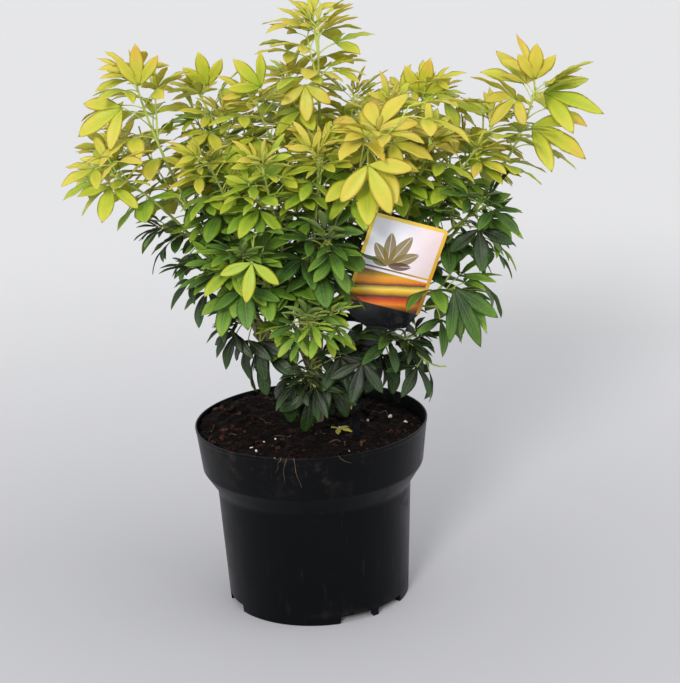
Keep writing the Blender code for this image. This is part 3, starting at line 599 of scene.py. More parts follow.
@dataclass(frozen=True)
class StemFinish(Finish):
    """Green stems and petioles, paler when young and browner near the wood."""

    young: tuple = linear(186, 198, 92)
    middle: tuple = linear(138, 156, 66)
    old: tuple = linear(120, 112, 62)

    def dress(self, surface: MaterialTree) -> None:
        """Colours the stem by how young it is.

        Args:
            surface: The material in the making.
        """
        patches = surface.patches(120.0)
        age = surface.mark("sun") + patches.step(0.2, 0.8, -0.12, 0.12)
        colour = surface.ramp(age, ((0.0, self.old), (0.35, self.middle), (1.0, self.young)))
        surface.paint(colour, patches.step(0.3, 0.7, 0.42, 0.6))
        surface.emboss(patches, 0.25 * MM, 0.6)


@dataclass(frozen=True)
class BarkFinish(Finish):
    """Young bark: grey-brown with long cracks and a green cast higher up."""

    roughness: float = 0.85
    dark: tuple = linear(70, 56, 40)
    light: tuple = linear(150, 138, 106)
    green: tuple = linear(120, 124, 66)
    green_from: tuple = (0.23, 0.40)

    def dress(self, surface: MaterialTree) -> None:
        """Draws the cracks and the green cast.

        Args:
            surface: The material in the making.
        """
        cracks = surface.noise(surface.drawn_out(surface.place, 0.22), 420.0, 6.0, 0.65)
        patches = surface.patches(90.0)
        colour = surface.mix(cracks.step(0.36, 0.62), self.dark, self.light)
        height = surface.split(surface.place)[2]
        cast = height.step(*self.green_from) * patches.step(0.2, 0.8)
        surface.paint(surface.mix(cast, colour, self.green), cracks.step(0.3, 0.7, 0.92, 0.7))
        surface.emboss(cracks + patches * 0.6, 0.6 * MM)


@dataclass(frozen=True)
class PotFinish(Finish):
    """Black moulded plastic, satin, with scuffs, and dust and soil near the rim."""

    roughness: float = 0.36
    specular: float = 0.115
    black: tuple = linear(2, 3, 5)
    worn: tuple = linear(50, 52, 54)
    dust: tuple = linear(84, 74, 66)
    rim_dust: tuple = (0.120, 0.182)
    foot_dust: tuple = (0.0, 0.02)

    def dress(self, surface: MaterialTree) -> None:
        """Scuffs and dusts the plastic.

        Args:
            surface: The material in the making.
        """
        scuffs, patches = surface.scuffs(34.0), surface.patches(14.0)
        rubbed = scuffs["Rubbed"]
        height = surface.split(surface.place)[2]
        colour = surface.mix(scuffs["Scratches"] * 0.22, self.black, self.worn)
        colour = surface.mix(rubbed * height.step(*self.rim_dust) * 0.30, colour, self.dust)
        colour = surface.mix(height.step(*self.foot_dust, 1, 0) * rubbed * 0.35, colour, self.dust)
        surface.paint(colour, patches.step(0.25, 0.75, 0.30, 0.44) + rubbed * 0.16)
        flow = surface.noise(surface.drawn_out(surface.place, 0.06), 120.0, 3.0)
        surface.emboss(flow * 0.7 + surface.noise(surface.place, 1400.0) * 0.3, 0.22 * MM, 0.55)


@dataclass(frozen=True)
class EarthFinish(Finish):
    """Potting mix, bark chips and crumbs, each crumb in a shade of its own."""

    roughness: float = 0.95
    specular: float = 0.12
    shades: tuple = (
        (0.00, linear(5, 2, 2)),
        (0.45, linear(18, 8, 7)),
        (0.75, linear(46, 22, 17)),
        (0.93, linear(92, 56, 38)),
        (1.00, linear(128, 98, 72)),
    )
    fineness: float = 260.0

    def dress(self, surface: MaterialTree) -> None:
        """Colours each crumb by its drawn number.

        Args:
            surface: The material in the making.
        """
        patches = surface.patches(self.fineness, 1.4)
        shade = surface.mark("draw") + patches.step(0.0, 1.0, -0.25, 0.25)
        surface.paint(surface.ramp(shade, self.shades), patches.step(0.2, 0.8, 1.0, 0.72))
        surface.emboss(patches + surface.noise(surface.place, 1500.0, 4.0, 0.7), 0.9 * MM)


@dataclass(frozen=True)
class PerliteFinish(Finish):
    """White, porous grains of perlite, a little stained."""

    roughness: float = 0.9
    white: tuple = linear(226, 220, 212)
    stain: tuple = linear(150, 128, 110)

    def dress(self, surface: MaterialTree) -> None:
        """Draws the stains and the pores.

        Args:
            surface: The material in the making.
        """
        pores = surface.noise(surface.place, 2200.0, 4.0, 0.7)
        colour = surface.mix(surface.patches(420.0).step(0.5, 0.8), self.white, self.stain)
        surface.paint(colour, pores.step(0.3, 0.7, 0.8, 1.0))
        surface.emboss(pores, 0.5 * MM)


@dataclass(frozen=True)
class FibreFinish(Finish):
    """Pale dry root hairs and plant fibres."""

    roughness: float = 0.8
    pale: tuple = linear(132, 114, 92)
    brown: tuple = linear(70, 52, 40)

    def dress(self, surface: MaterialTree) -> None:
        """Colours the hairs in patches from pale to brown.

        Args:
            surface: The material in the making.
        """
        patches = surface.patches(160.0)
        colour = surface.mix(patches.step(0.35, 0.7), self.pale, self.brown)
        surface.paint(colour, patches.step(0.2, 0.8, 0.7, 0.9))
        surface.emboss(patches, 0.2 * MM)


@dataclass(frozen=True)
class LabelFinish(Finish):
    """Printed plastic: a yellow border, a pale panel with a leaf fan, bands and a dark foot.

    The print is drawn in millimetres from the head's top left corner, down its sides.
    """

    roughness: float = 0.30
    width: float = 72.0
    border: float = 3.4
    panel_end: float = 52.0
    bands_end: float = 90.0
    fan_foot: tuple = (28.0, 49.0)
    fan: tuple = ((-74, 18, 9), (-42, 27, 11), (-10, 34, 12), (22, 37, 13), (54, 31, 12), (80, 22, 9))
    yellow: tuple = linear(236, 206, 84)
    amber: tuple = linear(214, 158, 40)
    pale: tuple = linear(232, 232, 240)
    lilac: tuple = linear(226, 204, 206)
    olive: tuple = linear(122, 104, 44)
    brown: tuple = linear(84, 52, 30)
    orange: tuple = linear(226, 130, 36)
    red: tuple = linear(206, 74, 34)
    black: tuple = linear(20, 21, 23)
    dust: tuple = linear(150, 140, 128)

    @staticmethod
    def petal(x: Value, y: Value, angle: float, length: float, width: float) -> Value:
        """A pointed oval that starts at the fan's foot.

        Args:
            x: Millimetres to the right of the fan's foot.
            y: Millimetres above it.
            angle: The oval's lean to the right in degrees.
            length: Its length.
            width: Its width.

        Returns:
            A mask of 0 to 1, fainter along the rib.
        """
        sine, cosine = math.sin(math.radians(angle)), math.cos(math.radians(angle))
        share = (x * sine + y * cosine) / length
        aside = abs(x * cosine - y * sine)
        spare = x.tree.math("MAXIMUM", share * (1.0 - share), 0.0)
        half = x.tree.math("POWER", spare, 0.8) * (1.5 * width)
        return (half - aside).step(0.0, 0.35) * aside.step(0.15, 0.45, 0.35, 1.0)

    def panel(self, surface: MaterialTree, x: Value, y: Value) -> Value:
        """The pale panel with its fan of leaves.

        Args:
            surface: The material in the making.
            x: Millimetres from the left.
            y: Millimetres from the top.

        Returns:
            The colour.
        """
        colour = surface.mix(x.step(20.0, 70.0), self.pale, self.lilac)
        fan_x, fan_y = x - self.fan_foot[0], self.fan_foot[1] - y
        for number, (angle, length, width) in enumerate(self.fan):
            leaf = self.petal(fan_x, fan_y, angle, length, width)
            tone = self.brown if number == len(self.fan) - 1 else self.olive
            colour = surface.mix(leaf * 0.9, colour, tone)
        return colour

    def bands(self, surface: MaterialTree, x: Value, y: Value, patches: Value) -> Value:
        """The slanting, cloudy bands under the panel, and the pale rule above them.

        Args:
            surface: The material in the making.
            x: Millimetres from the left.
            y: Millimetres from the top.
            patches: Soft patches.

        Returns:
            The colour.
        """
        slant = (y + x * 0.22) + (patches - 0.5) * 5.0
        colours = (self.brown, self.amber, self.orange, self.brown, self.yellow, self.amber, self.brown,
                   self.red, self.orange, self.brown)
        places = (0.00, 0.14, 0.26, 0.36, 0.50, 0.60, 0.72, 0.84, 0.93, 1.00)
        bands = surface.ramp(slant.step(56.0, 104.0), tuple(zip(places, colours)))
        rule = y.step(53.6, 54.0) * y.step(56.2, 56.6, 1, 0)
        return surface.mix(rule * 0.85, bands, self.pale)

    def dress(self, surface: MaterialTree) -> None:
        """Prints both sides.

        Args:
            surface: The material in the making.
        """
        x, y, behind = surface.split(surface.mark("print", "Vector"))
        patches, rubbed = surface.patches(30.0), surface.scuffs(60.0)["Rubbed"]
        panel, bands = self.panel(surface, x, y), self.bands(surface, x, y, patches)
        colour = surface.mix(y.step(self.panel_end, self.panel_end + 0.3), panel, bands)
        rim = surface.math("MINIMUM", x, self.width - x)
        rim = surface.math("MINIMUM", rim, y)
        edging = surface.mix((x + y).step(0.0, 130.0), self.yellow, self.amber)
        colour = surface.mix(rim.step(self.border - 0.15, self.border + 0.15, 1, 0), colour, edging)
        reverse = surface.mix(rim.step(self.border - 0.2, self.border + 0.2), edging, self.pale)
        colour = surface.mix(behind, colour, reverse)
        colour = surface.mix(y.step(self.bands_end, self.bands_end + 0.8), colour, self.black)
        surface.paint(surface.mix(rubbed * 0.10, colour, self.dust), rubbed.step(0, 1, 0.26, 0.5))
        surface.emboss(patches, 0.6 * MM, 0.25)


@dataclass(frozen=True)
class FloorFinish(Finish):
    """The pale, matt floor under the pot, painted darker round the pot and brighter far off as painted light.
    """

    roughness: float = 0.85
    # Painted light: the near colour is darker and the far one brighter, so the floor is not evenly bright.
    near: tuple = (0.446, 0.444, 0.463, 1.0)
    far: tuple = (0.565, 0.562, 0.562, 1.0)
    reach: tuple = (0.2, 1.6)

    def dress(self, surface: MaterialTree) -> None:
        """Colours the floor by its distance from the pot: painted shade near it and painted light far off.

        Args:
            surface: The material in the making.
        """
        x, y, _ = surface.split(surface.place)
        away = surface.math("SQRT", x * x + y * y)
        share = away.step(*self.reach) + surface.patches(2.0).step(0, 1, -0.02, 0.02)
        surface.feed(surface.shader.inputs["Base Color"], surface.mix(share, self.near, self.far))


# Meshes


def placed(name: str, data: bpy.types.ID) -> Object:
    """A new object in the scene."""
    obj = bpy.data.objects.new(name, data)
    bpy.context.scene.collection.objects.link(obj)
    return obj


def shaped(obj: Object) -> Mesh:
    """The mesh that an object's modifiers or its curve make."""
    depsgraph = bpy.context.evaluated_depsgraph_get()
    return bpy.data.meshes.new_from_object(obj.evaluated_get(depsgraph))


def coat(mesh: Mesh, material: Material, crease: float = 0) -> None:
    """Gives a mesh its one material and shades it smooth.

    Args:
        mesh: The mesh.
        material: Its material.
        crease: Edges above this angle stay sharp; 0 for none.
    """
    mesh.materials.clear()
    mesh.materials.append(material)
    mesh.shade_smooth()
    if crease:
        mesh.set_sharp_from_angle(angle=math.radians(crease))


class MeshParts:
    """Collects patches of vertices and faces, with what is marked on them, for one mesh."""

    MARKS = {
        "blade": ("FLOAT_VECTOR", "POINT", "vector"),
        "sun": ("FLOAT", "POINT", "value"),
        "draw": ("FLOAT", "POINT", "value"),
        "under": ("FLOAT", "FACE", "value"),
    }

    def __init__(self) -> None:
        """Starts with nothing."""
        kinds = ("points", "corners", "totals", "slots", "maps", *self.MARKS)
        self.lists: dict[str, list[np.ndarray]] = {kind: [] for kind in kinds}
        self.count = 0

    def add(
        self,
        points: np.ndarray,
        corners: np.ndarray,
        totals: np.ndarray,
        uv: np.ndarray,
        slot: int = 0,
        under: np.ndarray | None = None,
        blade: np.ndarray | None = None,
        sun: float | np.ndarray = 0.0,
        draw: float = 0.0,
    ) -> None:
        """Adds one patch.

        Args:
            points: Vertex positions.
            corners: Vertex numbers of all faces, one face after the other.
            totals: How many corners each face has.
            uv: Place of each corner on the piece's own map.
            slot: Material slot of the faces.
            under: For each face, 1 where it is the back of a blade.
            blade: Along, across and millimetres off the rib at each vertex.
            sun: How golden the patch is.
            draw: A number of 0 to 1 drawn for the patch.
        """
        count = len(points)
        patch = {
            "points": points,
            "corners": corners + self.count,
            "totals": totals,
            "slots": np.full(len(totals), slot),
            "maps": uv,
            "blade": np.zeros((count, 3)) if blade is None else blade,
            "sun": np.full(count, 1.0) * sun,
            "draw": np.full(count, draw),
            "under": np.zeros(len(totals)) if under is None else under,
        }
        for kind, values in patch.items():
            self.lists[kind].append(values)
        self.count += count

    def joined(self, kind: str, type_of: type = np.float32) -> np.ndarray:
        """All numbers of a kind in one row."""
        return np.concatenate(self.lists[kind]).astype(type_of).ravel()

    def build(self, name: str, materials: Sequence[Material]) -> Object:
        """Makes the object.

        Args:
            name: Its name.
            materials: Its material slots.

        Returns:
            The object, shaded smooth.
        """
        mesh = bpy.data.meshes.new(name)
        corners, totals = self.joined("corners", np.int32), self.joined("totals", np.int32)
        mesh.vertices.add(self.count)
        mesh.vertices.foreach_set("co", self.joined("points"))
        mesh.loops.add(len(corners))
        mesh.loops.foreach_set("vertex_index", corners)
        mesh.polygons.add(len(totals))
        starts = np.concatenate([[0], np.cumsum(totals)[:-1]])
        mesh.polygons.foreach_set("loop_start", starts.astype(np.int32))
        mesh.polygons.foreach_set("material_index", self.joined("slots", np.int32))
        mesh.update(calc_edges=True)
        mesh.shade_smooth()
        layer = mesh.uv_layers.new(name="OFBake")
        layer.uv.foreach_set("vector", self.joined("maps"))
        for title, (kind, domain, key) in self.MARKS.items():
            mesh.attributes.new(title, kind, domain).data.foreach_set(key, self.joined(title))
        for material in materials:
            mesh.materials.append(material)
        mesh.validate()
        return placed(name, mesh)


def cell_uv(x: np.ndarray, y: np.ndarray, cell: Cell) -> np.ndarray:
    """Places of 0 to 1 set inside a cell of the map, with a margin.

    Args:
        x: Across the cell.
        y: Up the cell.
        cell: Left, bottom, width and height.

    Returns:
        One row for each place.
    """
    left, low, wide, high = cell
    return np.stack([left + wide * (0.06 + 0.88 * x), low + high * (0.04 + 0.92 * y)], axis=-1)


class TubeMaker:
    """Makes round tubes along paths."""

    def __init__(self, sides: int) -> None:
        """Sets the number of sides."""
        self.sides = sides

    def add(
        self,
        parts: MeshParts,
        path: Sequence[Vector],
        radii: Sequence[float],
        cell: Cell,
        slot: int,
        sun: Sequence[float],
        draw: float,
    ) -> None:
        """Adds a tube with closed ends.

        Args:
            parts: The mesh in the making.
            path: Its middle line.
            radii: Its radius at each point.
            cell: Its cell on the map.
            slot: Its material slot.
            sun: How young it is at each point.
            draw: Its drawn number.
        """
        line = np.array([tuple(p) for p in path])
        heading = np.gradient(line, axis=0)
        heading /= np.linalg.norm(heading, axis=1, keepdims=True)
        side = np.cross(heading[0], (0.31, -0.87, 0.38))
        rings = []
        for at, forward, radius in zip(line, heading, radii):
            side = side - forward * (side @ forward)
            side /= np.linalg.norm(side)
            other = np.cross(forward, side)
            turn = np.arange(self.sides) * (math.tau / self.sides)
            rings.append(at + radius * (np.cos(turn)[:, None] * side + np.sin(turn)[:, None] * other))
        rows, sides = len(line), self.sides
        points = np.concatenate([np.concatenate(rings), line[:1], line[-1:]])
        ring, step = np.meshgrid(np.arange(rows - 1), np.arange(sides), indexing="ij")
        after = (step + 1) % sides
        quads = np.stack(
            [ring * sides + step, ring * sides + after, (ring + 1) * sides + after,
             (ring + 1) * sides + step], axis=-1
        ).reshape(-1, 4)
        u = np.stack([step, step + 1, step + 1, step], axis=-1).reshape(-1, 4) / sides
        v = np.stack([ring, ring, ring + 1, ring + 1], axis=-1).reshape(-1, 4) / (rows - 1)
        turns = np.arange(sides)
        first = np.stack([np.full(sides, rows * sides), (turns + 1) % sides, turns], axis=-1)
        last = np.stack(
            [np.full(sides, rows * sides + 1), (rows - 1) * sides + turns,
             (rows - 1) * sides + (turns + 1) % sides], axis=-1
        )
        ends = np.zeros((2 * sides * 3, 2))
        ends[:, 1] = np.repeat([0.0, 1.0], sides * 3)
        ends[:, 0] = np.tile(turns / sides, (3, 1)).T.ravel().tolist() * 2
        corners = np.concatenate([quads.ravel(), first.ravel(), last.ravel()])
        totals = np.concatenate([np.full(len(quads), 4), np.full(2 * sides, 3)])
        uv = cell_uv(np.concatenate([u.ravel(), ends[:, 0]]), np.concatenate([v.ravel(), ends[:, 1]]), cell)
        shade = np.concatenate([np.repeat(np.asarray(sun, float), sides), [sun[0], sun[-1]]])
        parts.add(points, corners, totals, uv, slot, sun=shade, draw=draw)


# Growth, by the part's own rule


def cubic(a: Vector, b: Vector, c: Vector, d: Vector, t: float) -> tuple[Vector, Vector]:
    """A point of a cubic curve and its unit heading.

    Args:
        a: Its start.
        b: First handle.
        c: Last handle.
        d: Its end.
        t: Share of the way.

    Returns:
        The point and the heading there.
    """
    s = 1 - t
    at = a * s**3 + b * (3 * s * s * t) + c * (3 * s * t * t) + d * t**3
    heading = (b - a) * (s * s) + (c - b) * (2 * s * t) + (d - c) * (t * t)
    return at, heading.normalized()


def square_to(heading: Vector) -> tuple[Vector, Vector]:
    """Two unit directions square to a heading, the first as near the front as can be."""
    first = (FRONT - heading * FRONT.dot(heading)).normalized()
    return first, heading.cross(first)


def limb_curve(limb: Limb) -> tuple[Vector, Vector, Vector, Vector]:
    """The four control points of a limb.

    Args:
        limb: The limb.

    Returns:
        Start, two handles and end.
    """
    start = Vector((TRUNK_TOP.x, TRUNK_TOP.y, limb.fork_height * MM))
    end = Vector(limb.end) * MM
    reach = (end - start).length
    outward = Vector(limb.heading).normalized()
    first, last = LIMB_HANDLES
    return start, start + UP * reach * first, end - outward * reach * last, end


class Branch:
    """The path of a shoot from its limb to its tip, first woody and then leafy."""

    def __init__(self, shoot: Shoot, start: Vector, limb_heading: Vector) -> None:
        """Lays the path out.

        Args:
            shoot: What grows.
            start: Where it leaves the limb.
            limb_heading: Where the limb heads there.
        """
        self.shoot = shoot
        self.tip = Vector(shoot.tip) * MM
        self.start = start
        reach = (self.tip - start).length
        heading = Vector(shoot.heading).normalized()
        first, last = BRANCH_HANDLES
        self.handle_1 = start + (limb_heading * 0.6 + UP * 0.4).normalized() * reach * first
        self.handle_2 = self.tip - heading * reach * last

    def at(self, share: float) -> tuple[Vector, Vector]:
        """Place and heading at a share of the way."""
        return cubic(self.start, self.handle_1, self.handle_2, self.tip, share)

    def bend(self, offset: Vector) -> None:
        """Pushes the middle of the path aside."""
        self.handle_1 = self.handle_1 + offset * 0.6
        self.handle_2 = self.handle_2 + offset

    def points(self, shares: Iterable[float]) -> list[Vector]:
        """Places at several shares of the way."""
        return [self.at(share)[0] for share in shares]


class Spur(Branch):
    """A short leafy side shoot, which leaves a stem and bends upwards."""

    LIFTS = (30, 55)
    LENGTHS = (0.7, 1.3)

    def __init__(self, branch: Branch, share: float, number: int) -> None:
        """Lays the path out.

        Args:
            branch: The stem it stands on.
            share: How far along the stem.
            number: Its number on the stem.
        """
        self.shoot = branch.shoot
        self.number = number
        draw = random.Random(f"spur {self.shoot.name} {number}")
        self.start, heading = branch.at(share)
        first, second = square_to(heading)
        angle = draw.uniform(0, math.tau)
        lift = math.radians(draw.uniform(*self.LIFTS))
        outward = first * math.cos(angle) + second * math.sin(angle)
        away = heading * math.cos(lift) + outward * math.sin(lift)
        length = self.shoot.leaf * MM * draw.uniform(*self.LENGTHS)
        self.handle_1 = self.start + away * length * 0.4
        self.tip = self.start + (away + UP * 0.3).normalized() * length
        self.handle_2 = self.tip - (away + UP * 0.9).normalized() * length * 0.3


def nearest(some: np.ndarray, others: np.ndarray) -> float:
    """The least distance between two sets of points."""
    if not len(others):
        return math.inf
    return float(np.min(np.linalg.norm(some[:, None, :] - others[None, :, :], axis=2)))


@dataclass(frozen=True)
class BranchRule:
    """How the branches are kept clear of each other."""

    clearance: float = 5.5 * MM
    push_step: float = 10.0 * MM
    push_ways: int = 8
    pushes: int = 25

    def grow(self) -> list[Branch]:
        """Lays out every branch, each bent clear of the ones before it.

        Returns:
            The branches in the order of the shoots.
        """
        branches: list[Branch] = []
        woods, leafy = np.empty((0, 3)), np.empty((0, 3))
        for shoot in SHOOTS:
            limb = next(limb for limb in LIMBS if limb.name == shoot.limb)
            draw = random.Random(shoot.name)
            start, limb_heading = cubic(*limb_curve(limb), draw.uniform(0.45, 0.97))
            for push in range(self.pushes):
                branch = Branch(shoot, start, limb_heading)
                first, second = square_to((branch.tip - start).normalized())
                angle = math.tau * push / self.push_ways
                size = self.push_step * math.ceil(push / self.push_ways)
                branch.bend((first * math.cos(angle) + second * math.sin(angle)) * size)
                twig = np.array(branch.points(np.linspace(0.12, TWIG_SHARE, 30)))
                stem = np.array(branch.points(np.linspace(TWIG_SHARE, 1.0, 70)))
                if nearest(stem, woods) > self.clearance and nearest(stem, leafy) > self.clearance:
                    if nearest(twig, leafy) > self.clearance:
                        break
            wood = np.array(branch.points(np.linspace(0, TWIG_SHARE, 40)))
            woods = np.vstack([woods, wood])
            leafy = np.vstack([leafy, stem])
            branches.append(branch)
        return branches


@dataclass(frozen=True)
class Leaf:
    """A leaf of three leaflets that meet at a hub, with a petiole from its root."""

    root: Vector
    hub: Vector
    along: Vector
    normal: Vector
    length: float
    width: float
    spread: float
    rise: float
    fall: float
    age: float = 1.0
    sun: float = 0.9
    key: str = ""

    @property
    def left(self) -> Vector:
        """The direction to the leaf's left."""
        return self.normal.cross(self.along)

    def hub_point(self, steps: float) -> Vector:
        """A point on the hub's edge, so many leaflets' roots to the left of the middle."""
        angle = steps * math.radians(55)
        return self.hub + (self.along * math.cos(angle) + self.left * math.sin(angle)) * HUB_RADIUS

    def leaflet_point(self, side: int, share: float, across: float) -> Vector:
        """A point on leaflet -1, 0 or 1, so far along its arc and off its rib.

        Args:
            side: Which leaflet.
            share: How far along its arc.
            across: How far off its rib.

        Returns:
            The point.
        """
        angle = side * self.spread
        out = self.along * math.cos(angle) + self.left * math.sin(angle)
        beside = self.normal.cross(out)
        length = self.length * (SIDE_LEAFLET if side else 1.0)
        sweep = self.fall - self.rise
        slope = self.rise + sweep * share
        reach = length * (math.sin(slope) - math.sin(self.rise)) / sweep
        height = length * (math.cos(self.rise) - math.cos(slope)) / sweep
        return self.hub + out * (HUB_RADIUS + reach) + self.normal * height + beside * across

    def surface(self, stations: Stations) -> Surface:
        """Corners and triangles of the plain thin blade, the petiole's two first.

        Args:
            stations: How far along a leaflet, and half its width there over its width.

        Returns:
            Corners and faces.
        """
        half_petiole = self.left * (1.1 * MM) / 2
        verts = [self.root + half_petiole, self.root - half_petiole]
        verts += [self.hub_point(steps) for steps in (1.5, -1.5, 0.5, -0.5)]
        faces: list[tuple[int, ...]] = [(0, 1, 3), (0, 3, 2), (2, 3, 5), (2, 5, 4)]
        for side, (left, right) in ((1, (2, 4)), (0, (4, 5)), (-1, (5, 3))):
            width = self.width * (SIDE_LEAFLET if side else 1.0)
            for share, half in stations:
                new = len(verts)
                verts.append(self.leaflet_point(side, share, half * width))
                verts.append(self.leaflet_point(side, share, -half * width))
                faces += [(left, right, new + 1), (left, new + 1, new)]
                left, right = new, new + 1
            faces.append((left, right, len(verts)))
            verts.append(self.leaflet_point(side, 1.0, 0))
        return verts, faces


def thick_shell(verts: list[Vector], faces: list[tuple[int, ...]], reach: float) -> Surface:
    """The surface moved both ways along its normals, as a closed shell for tests.

    Args:
        verts: The surface's corners.
        faces: Its faces.
        reach: How far each side moves.

    Returns:
        Corners and faces of the shell.
    """
    bm = bmesh.new()
    corners = [bm.verts.new(v) for v in verts]
    for face in faces:
        bm.faces.new([corners[i] for i in face])
    bm.normal_update()
    count = len(verts)
    upper = [v.co + v.normal * reach for v in bm.verts]
    lower = [v.co - v.normal * reach for v in bm.verts]
    bm.verts.index_update()
    rims = [[v.index for v in e.verts] for e in bm.edges if e.is_boundary]
    bm.free()
    shell = list(faces) + [tuple(i + count for i in reversed(face)) for face in faces]
    shell += [(a, b, b + count, a + count) for a, b in rims]
    return upper + lower, shell


def tube_surface(points: Sequence[Vector], radii: tuple[float, float]) -> Surface:
    """A four-sided tube along points, open at its ends, for tests.

    Args:
        points: Its middle line.
        radii: Radius at the start and at the end.

    Returns:
        Corners and faces.
    """
    verts: list[Vector] = []
    faces: list[tuple[int, ...]] = []
    for i, point in enumerate(points):
        before, after = points[max(i - 1, 0)], points[min(i + 1, len(points) - 1)]
        first, second = square_to((after - before).normalized())
        radius = radii[0] + (radii[1] - radii[0]) * i / (len(points) - 1)
        verts += [point + first * radius, point + second * radius]
        verts += [point - first * radius, point - second * radius]
        if i:
            base = 4 * (i - 1)
            for j in range(4):
                k = (j + 1) % 4
                faces.append((base + j, base + k, base + k + 4, base + j + 4))
    return verts, faces


class Guard:
    """Thin surfaces that a new leaf keeps clear of, with the node each belongs to."""

    def __init__(self) -> None:
        """Starts with nothing to keep clear of."""
        self.entries: list[tuple[str, Vector, float, BVHTree]] = []

    def add(self, owner: str, verts: list[Vector], faces: list[tuple[int, ...]]) -> None:
        """Adds a surface of a node."""
        middle = sum(verts, Vector()) / len(verts)
        radius = max((v - middle).length for v in verts)
        self.entries.append((owner, middle, radius, BVHTree.FromPolygons(verts, faces)))

    def is_clear(self, owner: str, whole: Surface, blade: Surface) -> bool:
        """Whether a shell meets none of the surfaces.

        Args:
            owner: The node it belongs to.
            whole: The shell.
            blade: The part of it that is tested against its own node.

        Returns:
            True if it is clear.
        """
        trees: dict[bool, BVHTree] = {}
        middle = sum(whole[0], Vector()) / len(whole[0])
        radius = max((v - middle).length for v in whole[0])
        for other, centre, size, tree in self.entries:
            if (centre - middle).length > size + radius:
                continue
            own = other == owner
            if own not in trees:
                trees[own] = BVHTree.FromPolygons(*(blade if own else whole))
            if trees[own].overlap(tree):
                return False
        return True


def aged(size: tuple[float, float], age: float) -> float:
    """A size that starts at the first number, and has gained the second at full age."""
    return size[0] + size[1] * age


@dataclass(frozen=True)
class PairPlace:
    """Where a pair of leaves stands: share of the branch, azimuth, age and its number."""

    number: int
    share: float
    azimuth: float
    age: float


